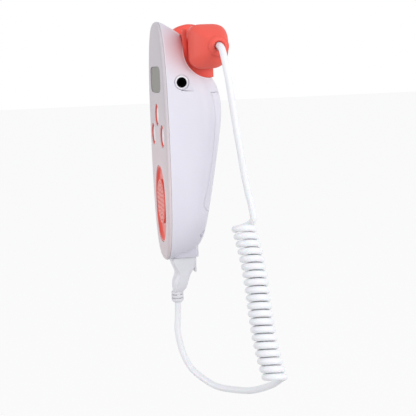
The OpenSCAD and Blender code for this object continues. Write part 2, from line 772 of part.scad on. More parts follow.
/* Probe */
probe_end = cradle_w / 2 + 2.5;      // where the cap meets the body
head_x = -cradle_w / 2 - 1;          // where the neck begins to flare
head_end = head_x - 4 - head_l;
function fillet(x0, r0, x1, r1, n) =   // quarter curve from the neck out to the head's back
    [for (i = [0 : n]) let (a = 90 * i / n) [r0 + (r1 - r0) * (1 - cos(a)), x0 + (x1 - x0) * sin(a)]];
module probe_body() {
    inner = neck_r - probe_wall;
    rim = head_r - probe_wall;
    color(coral) difference() {
        translate([0, probe_y, probe_z]) rotate([0, 90, 0]) rotate_extrude($fn = 96) polygon(concat(
            [[inner, probe_end], [neck_r, probe_end], [neck_r, head_x]],
            fillet(head_x, neck_r, head_x - 3, head_r - 1.6, 6),
            [for (a = [15 : 15 : 90]) [head_r - 1.6 + 1.6 * sin(a), head_x - 4.6 + 1.6 * cos(a)]],
            [[head_r, head_end + 1], [head_r - 0.8, head_end], [rim, head_end],
             [rim, head_x - 6], [inner, head_x - 4]]));
        bar_x(probe_y, probe_z, inner, probe_end - 3, probe_end + cut);
    }
}
face_t = 2;
module transducer_face() {
    rim = head_r - probe_wall - slip;
    color([0.93, 0.93, 0.92]) translate([0, probe_y, probe_z]) rotate([0, 90, 0])
        rotate_extrude($fn = 96) polygon([
            [0, head_end + face_t], [rim, head_end + face_t], [rim, head_end],
            [rim - 1.2, head_end - 0.5], [rim - 4, head_end - 0.9], [0, head_end - 1.1]]);
}
crystal_t = 1;
module crystals() {
    r = head_r - probe_wall - 2.4;
    color([0.75, 0.7, 0.55]) for (s = [-1, 1]) difference() {
        bar_x(probe_y, probe_z, r, head_end + face_t, head_end + face_t + crystal_t);
        translate([head_end, probe_y - head_r, s > 0 ? probe_z - 2 * head_r + 0.5 : probe_z - 0.5])
            cube([8, 2 * head_r, 2 * head_r]);
    }
}
module probe_board() {
    half = neck_r - probe_wall - 0.25;
    color([0.1, 0.4, 0.22]) {
        translate([head_end + 7, probe_y - half, probe_z - board_t / 2])
            cube([cradle_w - 8, 2 * half, board_t]);
        translate([-8, probe_y - 4, probe_z + board_t / 2]) cube([9, 8, 1.6]);
    }
}

// Outline of the cord-end cap: flat in front, its top and bottom corners rounder behind
cap_front = 11.2;
function cap_power(a) = cos(a) < 0 ? (sin(a) > 0 ? 5 : 3.4) : (sin(a) > 0 ? 3 : 2.5);
boss_y = probe_y + 3.9;
boss_z = probe_z - 0.2;
gland_x = 40;
cap_shares = [1, 0.95, 0.88, 0.78, 0.66, 0.52, 0.36, 0.2];   // sizes of the dome's rings
dome_power = 1.5;      // a low power leaves a soft edge round the dome
function cap_ring(x, s, n = 40) =
    [for (i = [0 : n - 1]) let (a = 360 * i / n, p = cap_power(a),
        y = max(-cap_front, cap_d / 2 * spow(cos(a), 2 / p)), z = cap_h / 2 * spow(sin(a), 2 / p))
        [x, probe_y + s * y + (1 - s) * (boss_y - probe_y),
         probe_z + s * z + (1 - s) * (boss_z - probe_z)]];
cap_dome = probe_end + cap_l;        // where the cap's straight part ends
module probe_cap() {
    color(coral) difference() {
        union() {
            loft(concat(
                [cap_ring(probe_end, 0.93), cap_ring(probe_end + 0.6, 0.97),
                 cap_ring(probe_end + 1.8, 1)],
                [for (s = cap_shares)
                    cap_ring(cap_dome + dome_l * pow(1 - pow(s, dome_power), 1 / dome_power), s)]));
            bar_x(boss_y, boss_z, boss_r, cap_dome, cap_dome + dome_l - 1.6);
            bar_x(boss_y, boss_z, boss_r - 1.4, cap_dome, cap_dome + dome_l - 0.2);
        }
        bar_x(boss_y, boss_z, cord_d / 2 + 1.1, probe_end, half_w * 3);
        bar_x(boss_y, boss_z, gland_r + slip, probe_end - cut, gland_x);
        bar_x(probe_y, probe_z, neck_r - probe_wall, probe_end - cut, probe_end + 3);
    }
}
gland_r = 4.2;
module cord_gland() {
    color([0.9, 0.9, 0.9]) {
        bar_x(boss_y, boss_z, gland_r, gland_x - 7, gland_x);
        bar_x(boss_y, boss_z, gland_r - 1.5, gland_x - 10, gland_x - 6.9);
    }
}

/* Plug */
grip_z0 = nose_z0 - grip_l;
plug_mid = 5.9;        // Y of the cord and the strain relief
// [share of the grip's length from below, front Y, back Y, half width]
grip_sections = [
    [0, 3.6, 9.5, 3.9], [0.06, 3.4, 10.4, 4.6], [0.13, 3.3, 11.4, 5.2], [0.28, 3.6, 12.4, 5.9],
    [0.48, 5.1, 13.9, 6.3], [0.56, 5.2, 14.8, 6.4], [0.7, 4.1, 16.7, 6.6],
    [0.84, 3.1, 17.4, 6.9], [1, 3.3, 17.8, 7]];
function grip_ring(s, y0, y1, w, n = 28) =
    [for (p = oval(w, (y1 - y0) / 2, 4, n)) [p[0], p[1] + (y0 + y1) / 2, grip_z0 + s * grip_l]];
latch_y0 = 17.4;
latch_y1 = 18.4;
latch_low = nose_z0 - 10.4;
latch_pin = [nose_y0 + nose_t + 0.75, nose_z1 - 1.8];
module plug_grip() {
    color(cord_white) difference() {
        loft([for (g = grip_sections) grip_ring(g[0], g[1], g[2], g[3])]);
        translate([-latch_w / 2 - 0.5, latch_y0 - 2.6, latch_low - 1]) cube([latch_w + 1, 9, 20]);
    }
}
module plug_nose() {
    color([0.85, 0.88, 0.9, 0.6]) difference() {
        translate([-nose_w / 2, nose_y0, nose_z0]) cube([nose_w, nose_t, nose_l]);
        for (i = [-1.5 : 1.5]) translate([i * 2 - 0.45, nose_y0 - cut, nose_z1 - 6])
            cube([0.9, 2.4 + cut, 6 + cut]);
    }
}
module plug_contacts() {
    color([0.85, 0.68, 0.3]) for (i = [-1.5 : 1.5])
        translate([i * 2 - 0.3, nose_y0 + 0.1, nose_z1 - 5.8]) cube([0.6, 2.2, 5]);
}
module plug_latch() {
    root = latch_pin;
    bend = nose_z0 + 1.5;
    color([0.85, 0.88, 0.9, 0.6]) side_slab(-latch_w / 2, latch_w / 2) {
        polygon([[root[0] - 0.45, root[1] + 0.9], [root[0] + 0.45, root[1] + 0.9],
                 [latch_y1, bend], [latch_y1, latch_low + 0.4], [latch_y1 - 0.4, latch_low],
                 [latch_y0, latch_low], [latch_y0, bend], [root[0] - 0.45, root[1] - 0.8]]);
    }
}
relief_l = 7;
relief_z0 = grip_z0 - relief_l;
module strain_relief() {
    r = relief_d / 2;
    core = cord_d / 2 + 0.5;
    color(cord_white) translate([0, plug_mid, relief_z0]) rotate_extrude() polygon([
        [0, 0], [r - 1.2, 0], [r - 0.3, 0.7], [r, 1.6], [r, 2.6], [core, 2.6], [core, 3.3],
        [r, 3.3], [r, 5.1], [core, 5.1], [core, 5.8], [r - 0.2, 5.8], [r - 0.2, relief_l],
        [0, relief_l]]);
}

/* Cord */
upper_route = [
    [40, 29.3, 56.8], [45, 29.3, 56.8], [50, 29.3, 54.6], [53.4, 29.8, 49], [54.6, 30.7, 42],
    [54.8, 31.8, 34], [54, 33.4, 23], [53, 35.4, 9], [52, 37.8, -6], [51, 39.5, -17],
    [50, 41.9, -29], [50, 43.4, -35], [50, 44, -39]];
lower_route = [
    [70, 51.2, -137], [64, 48.7, -141.1], [52, 41.6, -147.3], [40, 34.2, -150.5],
    [26, 23.6, -151.4], [15, 15.5, -147.4], [9, 10.4, -142.2], [4, 6.6, -132.7],
    [1, 4.9, -120.2], [0, 5.7, -110], [0, 5.9, -101.8]];
coil_top = [49, 38.2, -46.8];
coil_low = [80.8, 46.4, -132.2];
coil_sway = 1.1;       // how far the curls' axis swings to either side
first_turn = 70;       // angle at which the run from above has become a curl
curl_steps = 8;
coil_sides = 6;
cord_sides = 10;

function unit(v) = v / norm(v);
// A point between p1 and p2 on a smooth curve through p0, p1, p2 and p3
function smooth(p0, p1, p2, p3, t) =
    0.5 * (2 * p1 + (p2 - p0) * t + (2 * p0 - 5 * p1 + 4 * p2 - p3) * t * t
           + (3 * p1 - p0 - 3 * p2 + p3) * t * t * t);
function smooth_path(p, steps) =
    let (n = len(p) - 1)
    concat([for (i = [0 : n - 1]) for (k = [0 : steps - 1])
        smooth(i == 0 ? 2 * p[0] - p[1] : p[i - 1], p[i], p[i + 1],
               i == n - 1 ? 2 * p[n] - p[n - 1] : p[i + 2], k / steps)], [p[n]]);
// Points of a bend from a, leaving along u, to b, arriving along v, without its two ends
function bend(a, u, b, v, n) =
    [for (i = [1 : n - 1]) let (t = i / n)
        a * (1 + 2 * t) * (1 - t) * (1 - t) + b * t * t * (3 - 2 * t)
        + u * t * (1 - t) * (1 - t) - v * t * t * (1 - t)];
// Directions along a path
function directions(p) = [for (i = [0 : len(p) - 1])
    unit(p[min(i + 1, len(p) - 1)] - p[max(i - 1, 0)])];
// One side direction per point, carried along the path without twist
function sideways(d) = [for (i = 0,
         s = unit(cross(d[0], abs(d[0][1]) < 0.9 ? [0, 1, 0] : [1, 0, 0]));
         i < len(d);
         i = i + 1,
         s = i < len(d) ? unit(s - (s * d[i]) * d[i]) : s) s];
module tube(path, diameter, sides) {
    d = directions(path);
    s = sideways(d);
    rings = [for (i = [0 : len(path) - 1]) let (side = cross(d[i], s[i]))
        [for (k = [0 : sides - 1]) let (a = 360 * k / sides)
            path[i] + diameter / 2 * (cos(a) * s[i] + sin(a) * side)]];
    n = len(rings);
    low = [for (k = [1 : sides - 2]) [0, k, k + 1]];
    last = (n - 1) * sides;
    high = [for (k = [1 : sides - 2]) [last, last + k + 1, last + k]];
    polyhedron(flat_list(rings), concat(side_faces(n, sides), low, high), convexity = 20);
}

// The curls: right, then behind, left and in front, always downwards
coil_dir = unit(coil_low - coil_top);
coil_u = unit([0, 1, 0] - coil_dir[1] * coil_dir);
coil_v = cross(coil_u, coil_dir);
function coil_point(a) =
    let (t = a / (360 * curls))
    coil_top + t * (coil_low - coil_top) + coil_sway * sin(360 * t) * coil_u
    + curl_r * (cos(a) * coil_u + sin(a) * coil_v);
function coil_heading(a) = unit(coil_point(a + 1) - coil_point(a - 1));
upper_end = upper_route[len(upper_route) - 1];
upper_heading = unit(upper_end - upper_route[len(upper_route) - 2]);
lower_path = smooth_path(lower_route, 2);
lower_start = lower_path[0];
lower_heading = unit(lower_path[1] - lower_start);
coil_angles = [for (a = [first_turn : 360 / curl_steps : 360 * curls]) a];
last_angle = coil_angles[len(coil_angles) - 1];
coil_in = upper_end + cord_d * upper_heading;
coil_out = lower_start - cord_d * lower_heading;
coil_path = concat(
    [upper_end, upper_end + cord_d / 2 * upper_heading, coil_in],
    bend(coil_in, 8 * upper_heading, coil_point(first_turn), 8 * coil_heading(first_turn), 5),
    [for (a = coil_angles) coil_point(a)],
    bend(coil_point(last_angle), 9 * coil_heading(last_angle), coil_out, 9 * lower_heading, 5),
    [coil_out, lower_start - cord_d / 2 * lower_heading, lower_start]);
coil_gap = min([for (i = [0 : len(coil_path) - 6]) for (j = [i + 5 : min(i + 12, len(coil_path) - 1)])
    norm(coil_path[i] - coil_path[j])]) - cord_d;

module cord_upper() { color(cord_white) tube(smooth_path(upper_route, 1), cord_d, cord_sides); }
module cord_lower() { color(cord_white) tube(lower_path, cord_d, cord_sides); }
module cord_coil() { color(cord_white) tube(coil_path, cord_d, coil_sides); }
echo(least_gap_between_curls = coil_gap);

front_cover();
rear_shell();
battery_door();
socket_skirt();
probe_cradle();
display_window();
display_gasket();
display_module();
button_top();
button_left();
button_right();
button_rings();
speaker_panel();
speaker_grille();
speaker_gasket();
speaker_driver();
speaker_cone();
main_board();
board_chips();
tact_switches();
earphone_jack();
probe_socket();
socket_contacts();
socket_lead();
battery_tray();
battery_a();
battery_b();
battery_springs();
battery_plates();
door_foam();
case_screws();
tray_screws();
probe_body();
probe_cap();
transducer_face();
crystals();
probe_board();
cord_gland();
plug_grip();
plug_nose();
plug_contacts();
plug_latch();
strain_relief();
cord_upper();
cord_coil();
cord_lower();
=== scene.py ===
import math

import bmesh
import bpy
import numpy as np
from mathutils import Matrix


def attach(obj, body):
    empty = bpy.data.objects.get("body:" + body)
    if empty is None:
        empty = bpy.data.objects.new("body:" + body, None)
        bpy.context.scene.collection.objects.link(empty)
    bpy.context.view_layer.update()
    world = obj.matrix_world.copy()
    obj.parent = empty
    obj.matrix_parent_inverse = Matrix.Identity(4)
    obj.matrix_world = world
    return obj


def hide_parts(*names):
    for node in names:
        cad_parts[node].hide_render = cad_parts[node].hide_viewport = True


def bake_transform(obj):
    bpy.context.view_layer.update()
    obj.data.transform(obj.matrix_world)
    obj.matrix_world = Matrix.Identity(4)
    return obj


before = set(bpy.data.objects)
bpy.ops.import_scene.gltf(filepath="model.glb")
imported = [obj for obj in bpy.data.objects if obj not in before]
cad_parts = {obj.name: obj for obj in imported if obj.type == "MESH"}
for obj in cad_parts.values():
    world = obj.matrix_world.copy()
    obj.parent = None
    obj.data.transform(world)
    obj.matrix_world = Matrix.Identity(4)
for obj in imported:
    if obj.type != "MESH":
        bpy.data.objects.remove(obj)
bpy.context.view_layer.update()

MM = 0.001

# ---------------------------------------------------------------- sizes
HALF_H, HALF_W, BODY_D = 73.5, 30.5, 35.7
WALL = 2.0
COVER_RISE = 2.1
HALF_SEAM = 0.15
OUTLINE_POWER, SECTION_POWER = 2.6, 4.0
# Back profile: shares of the half height and of the depth, bottom to top
BACK_PROFILE = np.array([
    [-1, 0], [-0.98, 0.073], [-0.952, 0.157], [-0.925, 0.27], [-0.909, 0.39], [-0.891, 0.49],
    [-0.844, 0.577], [-0.748, 0.65], [-0.544, 0.737], [-0.272, 0.838], [0, 0.938],
    [0.19, 0.994], [0.32, 1], [0.435, 0.958], [0.517, 0.88], [0.626, 0.756], [0.762, 0.546],
    [0.898, 0.33], [0.925, 0.255], [0.962, 0.137], [0.98, 0.084], [1, 0]])
RIM_ROUND = 0.45           # round on the shell's front rim

WINDOW = (0.0, 38.7, 18.6, 7.8)      # middle X and Z, half width, half height
WINDOW_POWER = 5.0
BUTTONS = {"button_top": (0.0, 17.0), "button_left": (-17.0, 4.6), "button_right": (17.0, 4.6)}
CAP_R, RING_IN, RING_R, RING_FLANGE = 5.5, 5.8, 6.75, 7.75
CAP_FLANGE_R, CAP_SEAT, CAP_BACK, RING_BACK = 6.3, 0.9, 1.4, 0.8   # radius, then places in Y
PANEL = (0.0, -38.3, 18.0, 24.0)
PANEL_POWER = 2.3
GRILLE_Z, GRILLE_R = -36.8, 13.75
HOLE_R, HOLE_RINGS = 0.65, 5
FIT = 0.15                 # clearance of a piece pushed into its seat

JACK_Y, JACK_Z, JACK_MOUTH = 9.25, 36.7, 27.7
JACK_AXIS = (0, JACK_Y, JACK_Z)
JACK_R, JACK_BORE, COLLAR_R = 3.05, 1.75, 4.0
JACK_BLOCK = (5.45, 13.05, 3.6)      # front and back Y, half height
POCKET_TIP, POCKET_R = (16.2, 31.5), 4.5   # Y and Z of the finger pocket's point, its radius
DOOR = (26.0, -42.0, 30.0, 8.0)      # half width, lower edge, upper edge, corner radius
DOOR_GAP = 0.2
HOOK_X, HOOK_HALF, HOOK_T = 12, 3, 1.5     # place, half width and thickness of a door hook
LIP_END, LIP_REACH = 51, 40          # the cover's lip stops short of the body's ends
COVER_ROUND, COVER_POWER = 3, 2.6
LOW_SCREW, POST_R = (18.2, -56.0), 3.2
SADDLE_Y, SADDLE_Z, SADDLE_R = 27.0, 54.0, 15.2
PROBE_Y, PROBE_Z, NECK_R, CHANNEL_R = 25.4, 57.0, 10.7, 11.0
CRADLE_HALF, CRADLE_R, CRADLE_BACK = 22.5, 15.05, 29.8
CRADLE_TOP, EAR_TOP, EAR_W = 65.2, 67.8, 3.2
HEAD_R, HEAD_X, HEAD_END = 16.0, -23.5, -38.5
CAP_X, CAP_STRAIGHT, CAP_DOME = 25.0, 33.0, 10.5
CAP_HALF_Y, CAP_HALF_Z, CAP_FLAT, DOME_POWER = 11.6, 12.9, 11.2, 1.45
BOSS_Y, BOSS_Z, BOSS_R = 29.3, 56.8, 6.0
PROBE_AXIS, BOSS_AXIS = (0, PROBE_Y, PROBE_Z), (0, BOSS_Y, BOSS_Z)
# Warm light beside the saddle and round the speaker panel: place, then reach
SADDLE_GLOW, SADDLE_GLOW_REACH = (25.0, 17.0, 60.0), 27.0
PANEL_GLOW, PANEL_GLOW_REACH = (0.0, -2.0, -34.0), 80.0

SKIRT = (9.0, 3.2, 19.4, -72.2, -60.0)   # half width, front, back, bottom, top
SKIRT_WALL, SKIRT_BACK_WALL, SKIRT_R = 1.4, 0.7, 3.0
GRIP_LOW, GRIP_TOP = -94.8, -72.5
LATCH_SLOT = (3.5, 14.8, 24, -83.9, -63.9)   # half width, front, back, bottom, top
RELIEF_LOW, RELIEF_R, PLUG_Y = -101.8, 3.8, 5.9
SLOT_T = 0.75              # height of a slot in the strain relief
# Share of the grip's length from below, front Y, back Y, half width
GRIP_SECTIONS = np.array([
    [0, 3.6, 9.5, 3.9], [0.06, 3.4, 10.4, 4.6], [0.13, 3.3, 11.4, 5.2], [0.28, 3.6, 12.4, 5.9],
    [0.48, 5.1, 13.9, 6.3], [0.56, 5.2, 14.8, 6.4], [0.7, 4.1, 16.7, 6.6],
    [0.84, 3.1, 17.4, 6.9], [1, 3.3, 17.8, 7]])
FACET, FACET_TOP = 1.7, 0.88   # thumb facet: greatest cut, and its upper end as a share

CORD_D = 4.0
UPPER_ROUTE = np.array([
    [40, 29.3, 56.8], [45, 29.3, 56.8], [50, 29.3, 54.6], [53.4, 29.8, 49], [54.6, 30.7, 42],
    [54.8, 31.8, 34], [54, 33.4, 23], [53, 35.4, 9], [52, 37.8, -6], [51, 39.5, -17],
    [50, 41.9, -29], [50, 43.4, -35], [50, 44, -39]])
LOWER_ROUTE = np.array([
    [70, 51.2, -137], [64, 48.7, -141.1], [52, 41.6, -147.3], [40, 34.2, -150.5],
    [26, 23.6, -151.4], [15, 15.5, -147.4], [9, 10.4, -142.2], [4, 6.6, -132.7],
    [1, 4.9, -120.2], [0, 5.7, -110], [0, 5.9, -101.8]])
COIL_TOP, COIL_LOW = np.array([49, 38.2, -46.8]), np.array([80.8, 46.4, -132.2])
COIL_SWAY, CURL_R, CURLS, FIRST_TURN = 1.1, 5.3, 20, math.radians(70)
CURL_POINTS = 36           # points along each curl
WAY_IN, WAY_OUT = 8, 9     # how far the bends into and out of the curls keep straight

CAMERA_PLACE, FOCAL, SENSOR = np.array([592.613, -93.861, 44.0]), 83.54, 36.0
YAW, PITCH, ROLL = 78.391, 8.192, -2.205     # degrees
FLOOR_HALF, FLOOR_Z = 6.0, -0.175            # metres


# ---------------------------------------------------------------- camera and light
def make_camera():
    """The photograph's view: from the right, 11.6 degrees to the front, looking 8 degrees down."""
    yaw, pitch, roll = (math.radians(v) for v in (YAW, PITCH, ROLL))
    ahead = np.array([-math.sin(yaw) * math.cos(pitch), math.cos(yaw) * math.cos(pitch),
                      -math.sin(pitch)])
    level = np.array([math.cos(yaw), math.sin(yaw), 0.0])
    upright = np.cross(level, ahead)
    right = math.cos(roll) * level + math.sin(roll) * upright
    up = math.cos(roll) * upright - math.sin(roll) * level
    data = bpy.data.cameras.new("camera")
    data.sensor_width, data.lens = SENSOR, FOCAL
    data.clip_start, data.clip_end = 0.01, 20.0
    camera = bpy.data.objects.new("camera", data)
    place = np.eye(4)
    place[:3, :3] = np.stack([right, up, -ahead], 1)
    place[:3, 3] = CAMERA_PLACE * MM
    camera.matrix_world = Matrix(place.tolist())
    bpy.context.scene.collection.objects.link(camera)
    bpy.context.scene.camera = camera


def lamp(name, size, power, place, target):
    """A soft square lamp that faces a target; places are in metres."""
    data = bpy.data.lights.new(name, "AREA")
    data.size, data.energy = size, power
    light = bpy.data.objects.new(name, data)
    bpy.context.scene.collection.objects.link(light)
    back = np.array(place) - np.array(target)
    back = back / np.linalg.norm(back)
    side = np.cross([0, 0, 1.0], back)
    side = side / np.linalg.norm(side)
    turn = np.eye(4)
    turn[:3, :3] = np.stack([side, np.cross(back, side), back], 1)
    turn[:3, 3] = place
    light.matrix_world = Matrix(turn.tolist())


def white_where_seen(tree, shader, share):
    """Mixes a shader with plain white where the camera, a reflection or glass sees it."""
    path = tree.nodes.new("ShaderNodeLightPath").outputs
    seen = maths(tree, "ADD", path["Is Camera Ray"], path["Is Glossy Ray"], True)
    through = maths(tree, "ADD", seen, path["Is Transmission Ray"], True)
    mix = tree.nodes.new("ShaderNodeMixShader")
    wire(tree, maths(tree, "MULTIPLY", through, share), mix.inputs[0])
    wire(tree, shader.outputs[0], mix.inputs[1])
    return mix


def make_world():
    """A pale world that lights evenly and shows white."""
    world = bpy.data.worlds.new("studio")
    bpy.context.scene.world = world
    world.use_nodes = True
    tree = world.node_tree
    tree.nodes.clear()
    light = tree.nodes.new("ShaderNodeBackground")
    light.inputs["Color"].default_value = (0.93, 0.94, 1.0, 1)
    light.inputs["Strength"].default_value = 0.64
    white = tree.nodes.new("ShaderNodeBackground")
    white.inputs["Color"].default_value = (1, 1, 1, 1)
    mix = white_where_seen(tree, light, 1.0)
    tree.links.new(white.outputs[0], mix.inputs[2])
    out = tree.nodes.new("ShaderNodeOutputWorld")
    tree.links.new(mix.outputs[0], out.inputs["Surface"])


def make_floor():
    """A wide pale floor under the hanging cord, mostly white to the camera."""
    half, low = FLOOR_HALF, FLOOR_Z
    mesh = bpy.data.meshes.new("floor")
    mesh.from_pydata([(-half, -half, low), (half, -half, low), (half, half, low),
                      (-half, half, low)], [], [(0, 1, 2, 3)])
    floor = bpy.data.objects.new("floor", mesh)
    bpy.context.scene.collection.objects.link(floor)
    pale = bpy.data.materials.new("pale_floor")
    pale.use_nodes = True
    tree = pale.node_tree
    shader = tree.nodes["Principled BSDF"]
    shader.inputs["Base Color"].default_value = (0.6, 0.6, 0.6, 1)
    shader.inputs["Roughness"].default_value = 0.9
    white = tree.nodes.new("ShaderNodeEmission")
    white.inputs["Color"].default_value = (1, 1, 1, 1)
    mix = white_where_seen(tree, shader, 0.92)
    tree.links.new(white.outputs[0], mix.inputs[2])
    tree.links.new(mix.outputs[0], tree.nodes["Material Output"].inputs["Surface"])
    mesh.materials.append(pale)


# ---------------------------------------------------------------- shapes
def superellipse(angle, a, b, power):
    """The point at an angle of |x/a|^p + |y/b|^p = 1, in polar form."""
    c, s = np.cos(angle), np.sin(angle)
    reach = (np.abs(c) ** power + np.abs(s) ** power) ** (-1 / power)
    return a * c * reach, b * s * reach


def smooth_through(x, y, at):
    """A Hermite curve through values y at places x: the slope at a point is that of the line
    between its two neighbours."""
    index = np.arange(len(x))
    before, after = np.maximum(index - 1, 0), np.minimum(index + 1, len(x) - 1)
    slope = (y[after] - y[before]) / (x[after] - x[before])
    i = np.clip(np.searchsorted(x, at, "right") - 1, 0, len(x) - 2)
    w = x[i + 1] - x[i]
    t = (at - x[i]) / w
    return (y[i] * (1 + 2 * t) * (1 - t) ** 2 + y[i + 1] * t * t * (3 - 2 * t)
            + slope[i] * w * t * (1 - t) ** 2 - slope[i + 1] * w * t * t * (1 - t))


def depth(z):
    """Depth of the body behind the parting line at height z."""
    share, deep = BACK_PROFILE.T
    return BODY_D * smooth_through(share, deep, np.clip(np.asarray(z) / HALF_H, -1, 1))


def body_surface(inset, front, rows=221, cols=97):
    """The body's back as a grid: each row is a cross section at one height, a superellipse from
    the right edge over the back to the left edge; inset moves it inwards along its slope."""
    row = np.linspace(-math.pi / 2, math.pi / 2, rows)[:, None]
    col = np.linspace(0, math.pi, cols)[None]
    w, z = superellipse(row, HALF_W - inset, HALF_H - inset, OUTLINE_POWER)
    rise = (depth(z + 0.2) - depth(z - 0.2)) / 0.4
    deep = depth(z) - inset * np.sqrt(1 + rise ** 2) - front
    x, y = superellipse(col, w, np.maximum(deep, 0), SECTION_POWER)
    return np.stack([x, front + y, z + 0 * x], -1)


def rim_strip(side, levels, rows=221):
    """Half of the body's outline, drawn in by each level's inset at each level's depth."""
    row = np.linspace(-math.pi / 2, math.pi / 2, rows)
    strips = []
    for inset, y in levels:
        x, z = superellipse(row, HALF_W - inset, HALF_H - inset, OUTLINE_POWER)
        strips.append(np.stack([side * x, 0 * x + y, z], -1))
    return np.array(strips)


def ring_points(a, b, power, steps, middle=(0.0, 0.0)):
    """A closed superellipse ring, as (n, 2) points."""
    angle = np.linspace(0, 2 * math.pi, steps, endpoint=False)
    x, y = superellipse(angle, a, b, power)
    return np.stack([x + middle[0], y + middle[1]], -1)


def body_outline(inset, steps):
    """The body's outline seen from the front, drawn in by an inset."""
    return ring_points(HALF_W - inset, HALF_H - inset, OUTLINE_POWER, steps)


def arc_points(y, z, radius, angles):
    """Points at the given angles of a circle round (y, z)."""
    return np.stack([y + radius * np.cos(angles), z + radius * np.sin(angles)], -1)


def rounded(corners, closed=True, steps=5):
    """A line through corners (a, b, radius), where each corner with a radius is bent round along
    a curve tangent to both of its sides."""
    points = [np.array(c[:2], float) for c in corners]
    out = []
    for i, corner in enumerate(corners):
        ends = not closed and i in (0, len(corners) - 1)
        if ends or corner[2] == 0:
            out.append(points[i])
            continue
        back, on = points[i - 1] - points[i], points[(i + 1) % len(points)] - points[i]
        back_l, on_l = np.linalg.norm(back), np.linalg.norm(on)
        turn = math.acos(np.clip(back @ on / (back_l * on_l), -1, 1))
        reach = min(corner[2] / max(math.tan(turn / 2), 0.05), 0.48 * back_l, 0.48 * on_l)
        a, b = points[i] + back / back_l * reach, points[i] + on / on_l * reach
        for t in np.linspace(0, 1, steps):
            out.append((1 - t) ** 2 * a + 2 * t * (1 - t) * points[i] + t * t * b)
    return np.array(out)


def lift(flat, height, plane):
    """Flat points put into space: front is X and Z at a depth, plan is X and Y at a height,
    side is Y and Z at a sideways place."""
    flat = np.asarray(flat, float)
    h = np.full(len(flat), float(height))
    order = {"front": (flat[:, 0], h, flat[:, 1]), "plan": (flat[:, 0], flat[:, 1], h),
             "side": (h, flat[:, 0], flat[:, 1])}[plane]
    return np.stack(order, -1)


def revolve(profile, axis, middle, steps=96):
    """A profile of (along the axis, radius) turned round a line along X, Y or Z."""
    profile = np.asarray(profile, float)
    angle = np.linspace(0, 2 * math.pi, steps, endpoint=False)
    along = profile[:, :1] + 0 * angle
    u, v = profile[:, 1:] * np.cos(angle), profile[:, 1:] * np.sin(angle)
    order = {"x": (along, u, v), "y": (u, along, v), "z": (u, v, along)}[axis]
    return np.stack(order, -1) + np.array(middle, float)


def quads(rows, cols, wrap, start):
    """Faces between the neighbouring rows and columns of a grid of points."""
    r = np.arange(rows - 1)[:, None]
    c = np.arange(cols if wrap else cols - 1)[None]
    on = (c + 1) % cols
    corners = np.broadcast_arrays(r * cols + c, r * cols + on, (r + 1) * cols + on,
                                  (r + 1) * cols + c)
    return (start + np.stack(corners, -1).reshape(-1, 4)).tolist()


MERGE = 1e-6


def solid(name, grids, caps=()):
    """A closed mesh from grids of points, each with a flag that wraps its columns, and flat caps.
    Shared edges and poles are merged, and the faces are turned outwards."""
    points, faces, start = [], [], 0
    for grid, wrap in grids:
        rows, cols = grid.shape[:2]
        points.append(grid.reshape(-1, 3))
        faces += quads(rows, cols, wrap, start)
        start += rows * cols
    for ring in caps:
        points.append(np.asarray(ring))
        faces.append(list(range(start, start + len(ring))))
        start += len(ring)
    mesh = bpy.data.meshes.new(name)
    mesh.from_pydata(np.concatenate(points) * MM, [], faces)
    clean(mesh)
    obj = bpy.data.objects.new(name, mesh)
    bpy.context.scene.collection.objects.link(obj)
    return obj


def clean(mesh):
    """Merges doubled points, drops flat faces and points the normals outwards."""
    work = bmesh.new()
    work.from_mesh(mesh)
    bmesh.ops.remove_doubles(work, verts=work.verts, dist=MERGE)
    bmesh.ops.dissolve_degenerate(work, dist=MERGE, edges=work.edges)
    bmesh.ops.recalc_face_normals(work, faces=work.faces)
    work.to_mesh(mesh)
    work.free()


def stack(name, flats, heights, plane):
    """A solid through flat rings at given heights, closed at both ends."""
    rings = np.array([lift(f, h, plane) for f, h in zip(flats, heights)])
    return solid(name, [(rings, True)], [rings[0], rings[-1]])


def prism(name, flat, low, high, plane):
    """A straight prism over one flat outline."""
    return stack(name, [flat, flat], [low, high], plane)


def stepped(name, outline, steps, plane):
    """A solid through one outline, drawn in by each step's inset at each step's height."""
    insets, heights = zip(*steps)
    return stack(name, [outline(d) for d in insets], heights, plane)


def turned(name, profile, axis, middle, steps):
    """A solid turned round an axis, from a profile that starts and ends on it or at one point."""
    return solid(name, [(revolve(profile, axis, middle, steps), True)])


def turned_ring(name, corners, axis, middle, steps):
    """A ring turned round an axis from a closed outline with rounded corners."""
    profile = rounded(corners, steps=5)
    return turned(name, np.concatenate([profile, profile[:1]]), axis, middle, steps)


def bar(name, axis, middle, radius, low, high, steps=48):
    """A round bar along an axis."""
    return turned(name, [(low, 0), (low, radius), (high, radius), (high, 0)], axis, middle, steps)


def settle(obj):
    """Puts the result of an object's modifiers into its mesh."""
    graph = bpy.context.evaluated_depsgraph_get()
    mesh = bpy.data.meshes.new_from_object(obj.evaluated_get(graph))
    obj.modifiers.clear()
    obj.data = mesh


def combine(obj, tool, how="DIFFERENCE"):
    """Cuts, joins or intersects an object with a tool, which is then removed."""
    step = obj.modifiers.new(how, "BOOLEAN")
    step.operation, step.object, step.solver = how, tool, "MANIFOLD"
    settle(obj)
    bpy.data.objects.remove(tool)
    return obj


def fused(first, *others):
    """Several closed solids joined into the first."""
    for other in others:
        combine(first, other, "UNION")
    return first


def soften(obj, width, segments=2, angle=35):
    """A small round on the sharp edges of a clean mesh."""
    step = obj.modifiers.new("round", "BEVEL")
    step.width, step.segments, step.limit_method = width * MM, segments, "ANGLE"
    step.angle_limit = math.radians(angle)
    step.use_clamp_overlap = True
    settle(obj)
    return obj


def finish_piece(obj, body, material, replaced=(), angle=32):
    """Smooth shading up to an angle, a material, and the body that the piece rides on."""
    obj.data.shade_smooth()
    obj.data.set_sharp_from_angle(angle=math.radians(angle))
    obj.data.materials.clear()
    obj.data.materials.append(material)
    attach(obj, body)
    if replaced:
        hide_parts(*replaced)
    return obj


